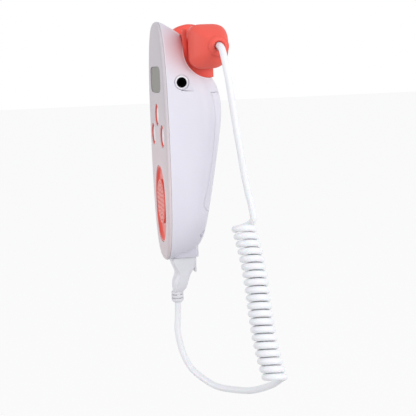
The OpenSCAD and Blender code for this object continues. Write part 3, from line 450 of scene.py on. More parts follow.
# ---------------------------------------------------------------- finishes
def srgb(r, g, b):
    """A colour given in 0 to 255 screen values, as the linear values that shaders use."""
    return tuple((c / 12.92 if c <= 0.04045 else ((c + 0.055) / 1.055) ** 2.4)
                 for c in (r / 255, g / 255, b / 255)) + (1.0,)


def new_group(name, inputs, outputs):
    """An empty shader group with named sockets."""
    group = bpy.data.node_groups.new(name, "ShaderNodeTree")
    for title, kind, value in inputs:
        socket = group.interface.new_socket(title, in_out="INPUT", socket_type="NodeSocket" + kind)
        socket.default_value = value
    for title, kind in outputs:
        group.interface.new_socket(title, in_out="OUTPUT", socket_type="NodeSocket" + kind)
    return group, group.nodes.new("NodeGroupInput"), group.nodes.new("NodeGroupOutput")


def wire(tree, value, socket):
    """Links an output to an input, or sets the input to a number, a colour or a place."""
    if isinstance(value, (int, float, tuple)):
        socket.default_value = value
    else:
        tree.links.new(value, socket)


def maths(tree, how, a, b=None, clamp=False):
    """A maths node; a and b are sockets or numbers."""
    node = tree.nodes.new("ShaderNodeMath")
    node.operation, node.use_clamp = how, clamp
    wire(tree, a, node.inputs[0])
    if b is not None:
        wire(tree, b, node.inputs[1])
    return node.outputs[0]


def noise(tree, scale, rough=0.5):
    """Noise in object space; scale is a socket or a number."""
    place = tree.nodes.new("ShaderNodeTexCoord")
    node = tree.nodes.new("ShaderNodeTexNoise")
    wire(tree, place.outputs["Object"], node.inputs["Vector"])
    for title, value in (("Detail", 3.0), ("Roughness", rough), ("Scale", scale)):
        wire(tree, value, node.inputs[title])
    return node.outputs["Fac"]


def blend_colour(tree, share, a, b):
    """Mixes two colours by a share; each is a socket or a value."""
    node = tree.nodes.new("ShaderNodeMix")
    node.data_type = "RGBA"
    wire(tree, share, node.inputs["Factor"])
    for socket, value in zip([s for s in node.inputs if s.type == "RGBA"], (a, b)):
        wire(tree, value, socket)
    return next(s for s in node.outputs if s.type == "RGBA")


def make_grain_group():
    """Moulded grain: broad, faint changes of shade, a fine erosion texture as height, and a
    roughness that follows both."""
    group, given, out = new_group(
        "moulded_grain",
        [("Colour", "Color", (0.8, 0.8, 0.8, 1)), ("Shade", "Color", (0.7, 0.7, 0.7, 1)),
         ("Shade share", "Float", 0.3), ("Grain scale", "Float", 3000.0),
         ("Roughness", "Float", 0.4), ("Roughness spread", "Float", 0.1)],
        [("Colour", "Color"), ("Roughness", "Float"), ("Height", "Float")])
    broad = noise(group, 45.0)
    fine = noise(group, given.outputs["Grain scale"], 0.6)
    share = maths(group, "MULTIPLY", broad, given.outputs["Shade share"])
    wire(group, blend_colour(group, share, given.outputs["Colour"], given.outputs["Shade"]),
         out.inputs["Colour"])
    mixed = maths(group, "ADD", maths(group, "MULTIPLY", broad, 0.6),
                  maths(group, "MULTIPLY", fine, 0.4))
    offset = maths(group, "MULTIPLY", maths(group, "SUBTRACT", mixed, 0.5),
                   given.outputs["Roughness spread"])
    wire(group, maths(group, "ADD", given.outputs["Roughness"], offset, True),
         out.inputs["Roughness"])
    wire(group, fine, out.inputs["Height"])
    return group


def make_edge_wear_and_highlight_group():
    """Rubbed edges and painted edge highlight: where a rounded normal leaves the true one, an edge
    is near; noise breaks up the mask, and the colour goes over to the edge colour there, which is
    real rubbing on some finishes and a painted highlight on others."""
    group, given, out = new_group(
        "edge_wear_and_highlight",
        [("Colour", "Color", (0.8, 0.8, 0.8, 1)), ("Worn", "Color", (0.9, 0.9, 0.9, 1)),
         ("Amount", "Float", 0.5), ("Rounded", "Vector", (0, 0, 1))],
        [("Colour", "Color"), ("Mask", "Float")])
    true_normal = group.nodes.new("ShaderNodeNewGeometry")
    dot = group.nodes.new("ShaderNodeVectorMath")
    dot.operation = "DOT_PRODUCT"
    wire(group, given.outputs["Rounded"], dot.inputs[0])
    wire(group, true_normal.outputs["Normal"], dot.inputs[1])
    edge = maths(group, "MULTIPLY", maths(group, "SUBTRACT", 1.0, dot.outputs["Value"]), 4.0, True)
    broken = maths(group, "MULTIPLY", edge, maths(group, "ADD", noise(group, 400.0), 0.3))
    mask = maths(group, "MULTIPLY", broken, given.outputs["Amount"], True)
    wire(group, blend_colour(group, mask, given.outputs["Colour"], given.outputs["Worn"]),
         out.inputs["Colour"])
    wire(group, mask, out.inputs["Mask"])
    return group


def place_group(tree, group, **values):
    """A group node in a material; keyword names have _ where a socket has a space."""
    node = tree.nodes.new("ShaderNodeGroup")
    node.node_tree = group
    for key, value in values.items():
        wire(tree, value, node.inputs[key.replace("_", " ")])
    return node


def object_place(tree):
    """X, Y and Z in object space, as three sockets."""
    place = tree.nodes.new("ShaderNodeTexCoord")
    parts = tree.nodes.new("ShaderNodeSeparateXYZ")
    wire(tree, place.outputs["Object"], parts.inputs[0])
    return parts.outputs


def make_warm_group():
    """Warm light that the coral pieces throw on the white ones: it fades with the distance from
    a place, which counts on both sides of the body."""
    group, given, out = new_group(
        "coral_glow", [("Colour", "Color", (0.8, 0.8, 0.8, 1)), ("Glow", "Color", (1, 0.5, 0.5, 1)),
                       ("Place", "Vector", (0, 0, 0)), ("Reach", "Float", 0.03)],
        [("Colour", "Color")])
    x, y, z = object_place(group)
    mirrored = group.nodes.new("ShaderNodeCombineXYZ")
    for source, socket in zip((maths(group, "ABSOLUTE", x), y, z), mirrored.inputs):
        wire(group, source, socket)
    gap = group.nodes.new("ShaderNodeVectorMath")
    gap.operation = "DISTANCE"
    wire(group, mirrored.outputs[0], gap.inputs[0])
    wire(group, given.outputs["Place"], gap.inputs[1])
    far = maths(group, "DIVIDE", gap.outputs["Value"], given.outputs["Reach"])
    share = maths(group, "POWER", maths(group, "SUBTRACT", 1.0, far, True), 1.4)
    wire(group, blend_colour(group, share, given.outputs["Colour"], given.outputs["Glow"]),
         out.inputs["Colour"])
    return group


def make_rim_highlight_group():
    """Painted highlight along the rims: its share is greatest at the saddle's edge and at the
    shell's front edge, and falls to none within a given width of them."""
    group, given, out = new_group(
        "painted_rim_highlight", [("Colour", "Color", (0.8, 0.8, 0.8, 1)), ("Rim", "Color", (1, 1, 1, 1)),
                     ("Width", "Float", 0.001)], [("Colour", "Color")])
    _, y, z = object_place(group)
    width = given.outputs["Width"]
    legs = [maths(group, "SUBTRACT", leg, middle * MM)
            for leg, middle in ((y, SADDLE_Y), (z, SADDLE_Z))]
    gap = maths(group, "SQRT", maths(group, "ADD", *(maths(group, "MULTIPLY", leg, leg)
                                                     for leg in legs)))
    saddle = maths(group, "DIVIDE", maths(group, "SUBTRACT", gap, SADDLE_R * MM), width)
    nearest = maths(group, "MINIMUM", saddle, maths(group, "DIVIDE", y, width))
    share = maths(group, "MULTIPLY", maths(group, "SUBTRACT", 1.0, nearest, True), 0.9)
    wire(group, blend_colour(group, share, given.outputs["Colour"], given.outputs["Rim"]),
         out.inputs["Colour"])
    return group


def finish(name, colour, shade, rough, spread=0.12, grain=3000.0, bump=0.05, worn_and_lit=None,
           wear_and_highlight=0.35, edge=0.35, warm=None, rim=None, **constants):
    """A procedural finish: grain, rubbed edges, changing roughness, bump, and edges that catch
    light. Colours are in 0 to 255 screen values. The edge colour is real rubbing on some finishes
    and a painted highlight on others; edge is the width of these edges, warm is a place, a reach
    and a colour of warm light, and rim is the width of a painted highlight along the saddle's
    edge and the shell's front edge. constants are set on the shader's own sockets; an underscore
    stands for a space."""
    material = bpy.data.materials.new(name)
    material.use_nodes = True
    tree = material.node_tree
    shader = tree.nodes["Principled BSDF"]
    grained = place_group(tree, GRAIN, Colour=srgb(*colour), Shade=srgb(*shade), Shade_share=0.35,
                          Grain_scale=grain, Roughness=rough, Roughness_spread=spread)
    used_colour, roughness = grained.outputs["Colour"], grained.outputs["Roughness"]
    relief = tree.nodes.new("ShaderNodeBump")
    relief.inputs["Strength"].default_value = bump
    relief.inputs["Distance"].default_value = 0.1 * MM
    wire(tree, grained.outputs["Height"], relief.inputs["Height"])
    if edge:
        soft = tree.nodes.new("ShaderNodeBevel")
        soft.samples = 4
        soft.inputs["Radius"].default_value = edge * MM
        wire(tree, soft.outputs[0], relief.inputs["Normal"])
        # the edge colour paints a highlight on some finishes and real rubbing on others
        used = place_group(tree, EDGE_WEAR_AND_HIGHLIGHT, Colour=used_colour, Worn=srgb(*(worn_and_lit or colour)),
                           Amount=wear_and_highlight, Rounded=soft.outputs[0])
        used_colour = used.outputs["Colour"]
        roughness = maths(tree, "ADD", roughness,
                          maths(tree, "MULTIPLY", used.outputs["Mask"], 0.1), True)
    if warm:
        middle, reach, glow = warm
        used_colour = place_group(tree, WARM, Colour=used_colour, Glow=srgb(*glow),
                                  Place=tuple(MM * v for v in middle),
                                  Reach=reach * MM).outputs[0]
    # rim paints a pale highlight along the saddle's edge and the shell's front edge
    if rim:
        used_colour = place_group(tree, RIM_HIGHLIGHT, Colour=used_colour, Width=rim * MM,
                                  Rim=srgb(252, 251, 253)).outputs[0]
    wire(tree, used_colour, shader.inputs["Base Color"])
    wire(tree, roughness, shader.inputs["Roughness"])
    wire(tree, relief.outputs[0], shader.inputs["Normal"])
    for key, value in constants.items():
        shader.inputs[key.replace("_", " ")].default_value = value
    return material


def make_finishes():
    """Every finish on the object, by name."""
    coral, coral_deep = (246, 102, 88), (236, 82, 69)
    shell, shell_deep = (231, 229, 238), (222, 219, 229)
    return {
        # The shell's pale edge colour and pale rim colour are a painted highlight along its edges,
        # the saddle and the front rim.
        "shell": finish("satin_white_shell", shell, shell_deep, 0.38, grain=5200.0, bump=0.12,
                        worn_and_lit=(250, 250, 253), wear_and_highlight=0.9, rim=0.9,
                        warm=(SADDLE_GLOW, SADDLE_GLOW_REACH, (210, 108, 102)),
                        Coat_Weight=0.08, Coat_Roughness=0.3),
        "skirt": finish("satin_white_skirt", shell, shell_deep, 0.38, grain=5200.0, bump=0.12,
                        worn_and_lit=(250, 250, 253), wear_and_highlight=0.9),
        # The cover is painted darker than the shell's white as shade on its front face; its pale
        # edge colour is a painted highlight along the seam.
        "cover": finish("satin_white_cover_painted_shade", (214, 207, 211), (204, 197, 201), 0.45,
                        grain=5200.0, bump=0.12, worn_and_lit=(246, 240, 243), wear_and_highlight=0.9,
                        warm=(PANEL_GLOW, PANEL_GLOW_REACH, (242, 222, 222)),
                        Specular_IOR_Level=0.3),
        "coral": finish("soft_coral", coral, coral_deep, 0.48, grain=4200.0, bump=0.14,
                        worn_and_lit=(250, 136, 122), wear_and_highlight=0.5, Specular_IOR_Level=0.3),
        "panel": finish("sheen_coral", coral, coral_deep, 0.3, grain=4200.0, bump=0.08,
                        worn_and_lit=(250, 136, 122), wear_and_highlight=0.5),
        "button": finish("bright_button", (246, 247, 249), (236, 238, 242), 0.3,
                         bump=0.04, worn_and_lit=(252, 252, 252)),
        # The pane is paler along its edges, a pale border round the display.
        "pane": finish("display_pane", (138, 135, 127), (126, 123, 116), 0.3,
                       spread=0.05, bump=0.02, wear_and_highlight=0.9, worn_and_lit=(206, 202, 198),
                       Specular_IOR_Level=0.05),
        "module": finish("display_back", (120, 128, 112), (96, 104, 92), 0.5),
        "black": finish("black_moulding", (22, 22, 23), (14, 14, 15), 0.35,
                        worn_and_lit=(70, 70, 72), wear_and_highlight=0.5),
        "socket": finish("matt_black_socket", (4, 4, 5), (2, 2, 3), 0.8,
                         worn_and_lit=(14, 14, 15), wear_and_highlight=0.2, Specular_IOR_Level=0.03),
        # The collar is a pale ring, painted brighter than the shell as a highlight round the
        # socket.
        "collar": finish("pale_collar_painted_highlight", (250, 249, 252), (242, 241, 245), 0.3,
                         bump=0.04, worn_and_lit=(255, 255, 255)),
        "foam": finish("dark_foam", (60, 60, 62), (34, 34, 36), 0.95, grain=900.0,
                       bump=0.9, edge=0, wear_and_highlight=0.1),
        "cone": finish("pressed_paper", (34, 34, 35), (20, 20, 21), 0.85, grain=1500.0,
                       bump=0.5),
        "basket": finish("grey_basket", (120, 121, 124), (96, 97, 100), 0.45,
                         worn_and_lit=(190, 190, 192), wear_and_highlight=0.6, Metallic=0.6),
        "board": finish("board_green", (26, 98, 56), (14, 70, 40), 0.35, grain=1200.0,
                        bump=0.2, worn_and_lit=(150, 140, 90), wear_and_highlight=0.5),
        "chip": finish("chip_black", (28, 28, 30), (18, 18, 20), 0.55,
                       worn_and_lit=(90, 90, 92)),
        "steel": finish("plated_steel", (196, 198, 202), (168, 170, 175), 0.28,
                        spread=0.2, bump=0.08, worn_and_lit=(232, 232, 235), wear_and_highlight=0.7, Metallic=1.0),
        "gold": finish("gold_contact", (226, 178, 92), (196, 146, 66), 0.25,
                       worn_and_lit=(245, 214, 140), wear_and_highlight=0.6, Metallic=1.0),
        "film": finish("lead_film", (222, 222, 216), (196, 196, 190), 0.4),
        "cell": finish("cell_jacket", (64, 70, 78), (44, 49, 56), 0.3, bump=0.04,
                       worn_and_lit=(170, 172, 176), wear_and_highlight=0.6, Metallic=0.5, Coat_Weight=0.4),
        "face": finish("probe_face", (238, 238, 236), (226, 226, 224), 0.45,
                       bump=0.06, worn_and_lit=(250, 250, 250)),
        "crystal": finish("fired_crystal", (205, 192, 150), (176, 160, 120), 0.6),
        "cord": finish("smooth_jacket", (251, 252, 253), (242, 243, 245), 0.34,
                       spread=0.1, grain=2600.0, bump=0.06, edge=0, wear_and_highlight=0.0,
                       Coat_Weight=0.15, Coat_Roughness=0.15, Subsurface_Weight=0.08,
                       Subsurface_Scale=0.002),
        # The plug's white edge colour is a painted highlight along its chamfered edges.
        "grip": finish("plug_moulding", (238, 237, 241), (229, 228, 233), 0.4,
                       bump=0.12, worn_and_lit=(255, 255, 255), wear_and_highlight=1.6, edge=0.5),
        "clear": finish("clear_plastic", (232, 238, 242), (222, 230, 236), 0.12,
                        spread=0.05, bump=0.02, wear_and_highlight=0.1, Transmission_Weight=0.55, IOR=1.5),
    }


# ---------------------------------------------------------------- cord
def smooth_path(points, steps):
    """A smooth curve through every point: each stretch is a cubic whose slope at a point is half
    the step between that point's two neighbours."""
    first, last = 2 * points[0] - points[1], 2 * points[-1] - points[-2]
    padded = np.concatenate([[first], points, [last]])
    t = np.linspace(0, 1, steps, endpoint=False)[None, :, None]
    p0, p1, p2, p3 = (padded[k:len(points) - 1 + k][:, None] for k in range(4))
    curve = 0.5 * (2 * p1 + (p2 - p0) * t + (2 * p0 - 5 * p1 + 4 * p2 - p3) * t * t
                   + (3 * p1 - p0 - 3 * p2 + p3) * t ** 3)
    return np.concatenate([curve.reshape(-1, 3), points[-1:]])


def unit(v):
    """A vector or each row of vectors at length 1."""
    return v / np.linalg.norm(v, axis=-1, keepdims=True)


def bend(a, leave, b, arrive, steps):
    """Points of a Hermite bend from a to b, without its two ends."""
    t = np.linspace(0, 1, steps + 1)[1:-1, None]
    return (a * (1 + 2 * t) * (1 - t) ** 2 + b * t * t * (3 - 2 * t)
            + leave * t * (1 - t) ** 2 - arrive * t * t * (1 - t))


def coil_point(angle):
    """The curls: a helix round a line that sways sideways once."""
    along = unit(COIL_LOW - COIL_TOP)
    u = unit(np.array([0, 1.0, 0]) - along[1] * along)
    v = np.cross(u, along)
    a = np.asarray(angle, float)[..., None]
    t = a / (2 * math.pi * CURLS)
    return (COIL_TOP + t * (COIL_LOW - COIL_TOP) + COIL_SWAY * np.sin(2 * math.pi * t) * u
            + CURL_R * (np.cos(a) * u + np.sin(a) * v))


def coil_heading(angle):
    """Direction of the curls at an angle."""
    step = math.radians(1)
    return unit(coil_point(angle + step) - coil_point(angle - step))


def coil_route():
    """From the upper run into the curls, down them, and out to the lower run."""
    upper_end, lower_start = UPPER_ROUTE[-1], LOWER_ROUTE[0]
    upper_way = unit(upper_end - UPPER_ROUTE[-2])
    lower_way = unit(smooth_path(LOWER_ROUTE, 2)[1] - lower_start)
    coarse = math.radians(360 / 8)
    turns = int((2 * math.pi * CURLS - FIRST_TURN) / coarse + 1e-6)
    last = FIRST_TURN + turns * coarse
    angles = np.linspace(FIRST_TURN, last, int((last - FIRST_TURN) / 2 / math.pi * CURL_POINTS) + 1)
    way_in, way_out = upper_end + CORD_D * upper_way, lower_start - CORD_D * lower_way
    return np.concatenate([
        [upper_end, upper_end + CORD_D / 2 * upper_way, way_in],
        bend(way_in, WAY_IN * upper_way, coil_point(FIRST_TURN),
             WAY_IN * coil_heading(FIRST_TURN), 14),
        coil_point(angles),
        bend(coil_point(last), WAY_OUT * coil_heading(last), way_out, WAY_OUT * lower_way, 14),
        [way_out, lower_start - CORD_D / 2 * lower_way, lower_start]])


def tube(name, path, radius, sides):
    """A round tube along a path; its side direction is carried along without twist."""
    ways = unit(np.gradient(path, axis=0))
    side = unit(np.cross(ways[0], [1.0, 0.3, 0.2]))
    sides_along = []
    for way in ways:
        side = unit(side - (side @ way) * way)
        sides_along.append(side)
    sides_along = np.array(sides_along)
    cross = np.cross(ways, sides_along)
    angle = np.linspace(0, 2 * math.pi, sides, endpoint=False)[None, :, None]
    rings = path[:, None] + radius * (np.cos(angle) * sides_along[:, None]
                                      + np.sin(angle) * cross[:, None])
    return solid(name, [(rings, True)], [rings[0], rings[-1]])


def make_cords(looks):
    """The lead in its three stretches: down from the probe, the curls, and round to the plug."""
    upper, coil, lower = smooth_path(UPPER_ROUTE, 8), coil_route(), smooth_path(LOWER_ROUTE, 8)
    made = {}
    for name, path, sides in (("cord_upper", upper, 28), ("cord_coil", coil, 20),
                              ("cord_lower", lower, 28)):
        piece = tube(name + "_jacket", path, CORD_D / 2, sides)
        piece.data.shade_smooth()
        piece.data.set_sharp_from_angle(angle=math.radians(50))
        piece.data.materials.append(looks["cord"])
        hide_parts(name)
        made[name] = (piece, path)
    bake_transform(made["cord_upper"][0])
    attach(made["cord_coil"][0], "handset")
    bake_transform(made["cord_lower"][0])
    return made


# ---------------------------------------------------------------- body
def half_outline(grid):
    """The closed front edge of a body surface: up its right side and down its left."""
    return np.concatenate([grid[:, 0], grid[-2:0:-1, -1]])


def skin(name):
    """The bare rear shell: outer and inner surfaces joined by a rounded front rim."""
    rim = [(RIM_ROUND * (1 - math.cos(a)), HALF_SEAM + RIM_ROUND * (1 - math.sin(a)))
           for a in np.linspace(0, math.pi / 2, 6)] + [(WALL, HALF_SEAM)]
    outer = body_surface(0, HALF_SEAM + RIM_ROUND)
    inner = body_surface(WALL, HALF_SEAM)
    return solid(name, [(outer, False), (inner, False), (rim_strip(1, rim), False),
                        (rim_strip(-1, rim), False)])


def door_outline(grow):
    """The battery door seen from behind: square at the top, wide round corners at the bottom."""
    half, low, high, corner = DOOR
    w, a, b = half + grow, low - grow, high + grow
    return rounded([(-w, b, 0), (w, b, 0), (w, a, corner + grow), (-w, a, corner + grow)],
                   steps=17)


def saddle_outline(radius, front):
    """Everything above and behind the saddle's round bottom, with a straight front."""
    bottom = arc_points(SADDLE_Y, SADDLE_Z, radius, np.radians(np.linspace(180, 360, 73)))
    high, back = HALF_H + 10, BODY_D + 20
    return np.concatenate([bottom, [[back, SADDLE_Z], [back, high], [front, high]]])


def jack_seat():
    """The earphone socket's hole, with a coned mouth."""
    back, front = JACK_MOUTH - 12, JACK_MOUTH + 4
    return turned("jack_seat", [(back, 0), (back, JACK_R + FIT), (JACK_MOUTH + 0.2, JACK_R + FIT),
                                (JACK_MOUTH + 0.8, 3.6), (front, 3.8), (front, 0)],
                  "x", JACK_AXIS, 72)


def jack_groove():
    """A fine groove round the collar of the hole."""
    low = JACK_MOUTH - 0.4
    return turned("jack_groove", [(low + 4, 4.5), (low + 4, 4.05), (low, 4.1), (low, 4.45),
                                  (low + 4, 4.5)], "x", JACK_AXIS, 72)


def finger_pocket():
    """A shallow drop-shaped pocket beside the socket: a circle drawn out to a point, whose floor
    rises from the socket to the point, with a fine groove along its lower side."""
    centre, tip = np.array([JACK_Y, JACK_Z]), np.array(POCKET_TIP)
    reach = np.linalg.norm(tip - centre)
    way = (tip - centre) / reach
    side = np.array([-way[1], way[0]])
    open_angle = math.acos(POCKET_R / reach)
    arc = np.linspace(open_angle, 2 * math.pi - open_angle, 61)[:, None]
    round_part = centre + POCKET_R * (np.cos(arc) * way + np.sin(arc) * side)
    outline = np.concatenate([round_part, [tip]])
    along = (outline - centre) @ way
    floor = JACK_MOUTH - 0.2 + 1.2 * (along + POCKET_R) / (reach + POCKET_R)
    low = np.stack([floor, outline[:, 0], outline[:, 1]], -1)
    high = low + np.array([6.0, 0, 0])
    lowest = round_part[-1]
    line = prism("pocket_line", [lowest, tip + 0.5 * way, tip - 0.3 * side, lowest - 0.55 * side],
                 JACK_MOUTH - 0.2, JACK_MOUTH + 6, "side")
    return fused(solid("finger_pocket", [(np.array([low, high]), True)], [low, high]), line)


def screw_well(side):
    """The bore and the wide well of one lower case screw."""
    x, z = side * LOW_SCREW[0], LOW_SCREW[1]
    return turned("screw_well", [(4, 0), (4, 1.2), (8, 1.2), (8, 2.4), (BODY_D, 2.4), (BODY_D, 0)],
                  "y", (x, 0, z), 40)


def skirt_outline(grow):
    """The socket skirt's plan: a rectangle with round corners."""
    half, y0, y1, r = SKIRT[0] + grow, SKIRT[1] - grow, SKIRT[2] + grow, SKIRT_R + grow
    return rounded([(-half, y0, r), (half, y0, r), (half, y1, r), (-half, y1, r)], steps=9)


def make_rear_shell(looks):
    """The rear shell with its saddle wall and screw posts, and all that is cut into it."""
    inside = body_surface(WALL - 0.5, HALF_SEAM, 161, 73)
    core = solid("core", [(inside, False)], [half_outline(inside)])
    wall_r = SADDLE_R + WALL
    saddle_block = prism("saddle_block", saddle_outline(wall_r, SADDLE_Y - SADDLE_R - WALL),
                         -HALF_W, HALF_W, "side")
    posts = [bar("post", "y", (s * LOW_SCREW[0], 0, LOW_SCREW[1]), POST_R, 5, BODY_D)
             for s in (-1, 1)]
    features = combine(fused(saddle_block, *posts), core, "INTERSECT")
    shell = fused(skin("rear_shell_skin"), features)
    for tool in (prism("saddle_cut", saddle_outline(SADDLE_R, SADDLE_Y - SADDLE_R),
                       -HALF_W - 2, HALF_W + 2, "side"),
                 prism("door_cut", door_outline(DOOR_GAP), BODY_D / 4, BODY_D + 2, "front"),
                 prism("skirt_cut", skirt_outline(FIT), -HALF_H - 2, SKIRT[4] + 2, "plan"),
                 jack_seat(), jack_groove(), finger_pocket(), screw_well(-1), screw_well(1)):
        combine(shell, tool)
    finish_piece(shell, "handset", looks["shell"], ["rear_shell"])


def make_door(looks):
    """The battery door: a cut out of the same skin, with two hook tongues at its lower edge."""
    door = combine(skin("battery_door_skin"),
                   prism("door_plan", door_outline(0), BODY_D / 4, BODY_D + 2, "front"),
                   "INTERSECT")
    low = DOOR[1]
    rise = float(depth(low + 0.2) - depth(low - 0.2)) / 0.4
    inner = float(depth(low)) - WALL * math.sqrt(1 + rise ** 2)
    front = inner - 0.3 - 1.6 - HOOK_T
    tongue = front + HOOK_T
    hook = rounded([(front, low - 3, 0.4), (tongue, low - 3, 0.4), (tongue, low + 1.2, 0),
                    (inner + 0.8, low + 1.2, 0), (inner + 0.8, low + 5, 0.3),
                    (front, low + 5, 0.3)], steps=4)
    for x in (-HOOK_X, HOOK_X):
        fused(door, prism("hook", hook, x - HOOK_HALF, x + HOOK_HALF, "side"))
    finish_piece(door, "battery_door", looks["shell"], ["battery_door"])


def make_front_cover(looks):
    """The front cover: a plate with a rounded edge, a lip behind it, and its openings."""
    share = np.sin(np.linspace(0, math.pi / 2, 13))
    inset = COVER_ROUND * (1 - (1 - share ** COVER_POWER) ** (1 / COVER_POWER))
    y = -HALF_SEAM - share * (COVER_RISE - HALF_SEAM)
    cover = stepped("front_cover_plate", lambda d: body_outline(d, 288), zip(inset, y), "front")
    lip = prism("lip", body_outline(WALL + 0.2, 200), -0.6, 2.4, "front")
    step = prism("step", body_outline(0.4, 240), -0.6, HALF_SEAM - 0.02, "front")
    for piece in (lip, step):
        combine(piece, prism("hole", body_outline(WALL + 1.4, 200), -2, 4, "front"))
    combine(lip, prism("lip_ends", [[-LIP_REACH, -LIP_END], [LIP_REACH, -LIP_END],
                                    [LIP_REACH, LIP_END], [-LIP_REACH, LIP_END]],
                       -2, 4, "front"), "INTERSECT")
    fused(cover, step, lip)
    for (x, z, a, b), gap, power, points in ((WINDOW, FIT, WINDOW_POWER, 96),
                                             (PANEL, 0, PANEL_POWER, 144)):
        combine(cover, prism("opening", ring_points(a + gap, b + gap, power, points, (x, z)),
                             -5, 1, "front"))
    for x, z in BUTTONS.values():
        combine(cover, bar("ring_hole", "y", (x, 0, z), RING_R + FIT, -5, 1, 80))
    finish_piece(cover, "handset", looks["cover"], ["front_cover"])


def make_display(looks):
    """The display pane, with a rounded edge, sunk behind the front face."""
    x, z, a, b = WINDOW
    front = -COVER_RISE + 0.3
    steps = [(-0.12, -HALF_SEAM), (-0.12, front + 0.25), (-0.04, front + 0.08), (0.2, front),
             (1.2, front)]
    pane = stepped("display_pane", lambda d: ring_points(a - d, b - d, WINDOW_POWER, 96, (x, z)),
                   steps, "front")
    finish_piece(pane, "handset", looks["pane"], ["display_window"])


def make_buttons(looks):
    """White caps with a slightly crowned top, and the coral rings that they stand in."""
    face, top = -COVER_RISE + 0.6, -COVER_RISE + 0.2
    for name, (x, z) in BUTTONS.items():
        profile = rounded([(face, 0, 0), (face + 0.05, CAP_R * 0.7, 3), (face + 0.15, CAP_R, 0.5),
                           (CAP_SEAT, CAP_R, 0), (CAP_SEAT, CAP_FLANGE_R, 0.1),
                           (CAP_BACK, CAP_FLANGE_R, 0.1), (CAP_BACK, 0, 0)],
                          closed=False, steps=6)
        cap = turned(name + "_cap", profile, "y", (x, 0, z), 72)
        finish_piece(cap, name, looks["button"], [name])
    section = [(RING_BACK, RING_IN, 0), (top, RING_IN, 0.25), (top, RING_R, 0.3),
               (-HALF_SEAM, RING_R, 0), (-HALF_SEAM, RING_FLANGE, 0.1),
               (RING_BACK, RING_FLANGE, 0.1)]
    rings = [turned_ring("ring", section, "y", (x, 0, z), 80) for x, z in BUTTONS.values()]
    z0, (x1, z1) = BUTTONS["button_top"][1], BUTTONS["button_right"]
    for side in (-1, 1):
        web = np.array([[side * 2, z0 - 7.5], [side * (x1 - 7), z1 + 3],
                        [side * (x1 - 7.5), z1 - 1], [side * 2, z0 - 10.5]])
        rings.append(prism("web", web, -HALF_SEAM, RING_BACK, "front"))
    carrier = fused(*rings)
    carrier.name = "button_ring_set"
    finish_piece(carrier, "handset", looks["coral"], ["button_rings"])


def make_speaker(looks):
    """The oval coral dish and the raised round grille in it."""
    x, z, a, b = PANEL
    top, floor = -COVER_RISE + 0.15, -COVER_RISE + 1.5
    steps = [(-1.3, floor + 1.4), (-1.3, -HALF_SEAM), (FIT, -HALF_SEAM), (FIT, top + 0.3),
             (FIT + 0.1, top + 0.1), (FIT + 0.3, top), (FIT + 0.6, top), (FIT + 0.85, top + 0.1),
             (FIT + 1.0, top + 0.3), (FIT + 1.15, floor - 0.35), (FIT + 1.35, floor - 0.1),
             (FIT + 1.7, floor), (FIT + 3, floor)]
    panel = stepped("speaker_dish", lambda d: ring_points(a - d, b - d, PANEL_POWER, 160, (x, z)),
                    steps, "front")
    combine(panel, bar("grille_hole", "y", (0, 0, GRILLE_Z), GRILLE_R + FIT, -5, 5, 96))
    finish_piece(panel, "handset", looks["panel"], ["speaker_panel"])

    top, back = -COVER_RISE + 0.02, floor + 1.4
    low, under = back + 0.6, top + 1.2
    profile = rounded([(top, 0, 0), (top, GRILLE_R, 0.6), (back, GRILLE_R, 0),
                       (back, GRILLE_R + 1.3, 0.1), (low, GRILLE_R + 1.3, 0.1),
                       (low, GRILLE_R - 1.3, 0), (under, GRILLE_R - 1.3, 0.2),
                       (under, 0, 0)], closed=False, steps=6)
    grille = turned("speaker_grille_plate", profile, "y", (0, 0, GRILLE_Z), 96)
    hole = [(top - 1, 0), (top - 1, HOLE_R + 0.3), (top + 0.25, HOLE_R), (top + 2, HOLE_R),
            (top + 2, 0)]
    holes = []
    for k in range(HOLE_RINGS):
        r = k * (GRILLE_R - 2) / (HOLE_RINGS - 1)
        for i in range(max(1, 6 * k)):
            angle = math.radians(60 * i / max(k, 1))
            middle = (r * math.cos(angle), 0, GRILLE_Z + r * math.sin(angle))
            holes.append((revolve(hole, "y", middle, 18), True))
    combine(grille, solid("grille_holes", holes))
    finish_piece(grille, "handset", looks["panel"], ["speaker_grille"])


def make_jack(looks):
    """The earphone socket: a barrel with a stepped mouth on a square block, and its pale collar,
    painted brighter than the shell as a highlight.
    """
    y0, y1, half = JACK_BLOCK
    mouth, back = JACK_MOUTH, JACK_MOUTH - 13
    socket = prism("earphone_socket", [[y0, JACK_Z - half], [y1, JACK_Z - half],
                                       [y1, JACK_Z + half], [y0, JACK_Z + half]],
                   mouth - 14.2, mouth - 2.5, "side")
    fused(socket, turned("tip", [(mouth - 3, 0), (mouth - 3, JACK_R), (mouth - 0.2, JACK_R),
                                 (mouth, JACK_R - 0.2), (mouth, 0)], "x", JACK_AXIS, 64))
    combine(socket, turned("bore", [
        (back, 0), (back, JACK_BORE), (mouth - 0.7, JACK_BORE), (mouth - 0.4, JACK_BORE + 0.2),
        (mouth - 0.4, 2.3), (mouth + 1, 2.4), (mouth + 1, 0)], "x", JACK_AXIS, 48))
    finish_piece(socket, "handset", looks["socket"], ["earphone_jack"])
    inner = JACK_R + 0.02
    collar = turned_ring("socket_collar", [
        (mouth - 0.8, inner, 0), (mouth + 0.4, inner, 0.25), (mouth + 0.4, COLLAR_R, 0.25),
        (mouth - 0.8, COLLAR_R, 0)], "x", JACK_AXIS, 72)
    finish_piece(collar, "handset", looks["collar"])


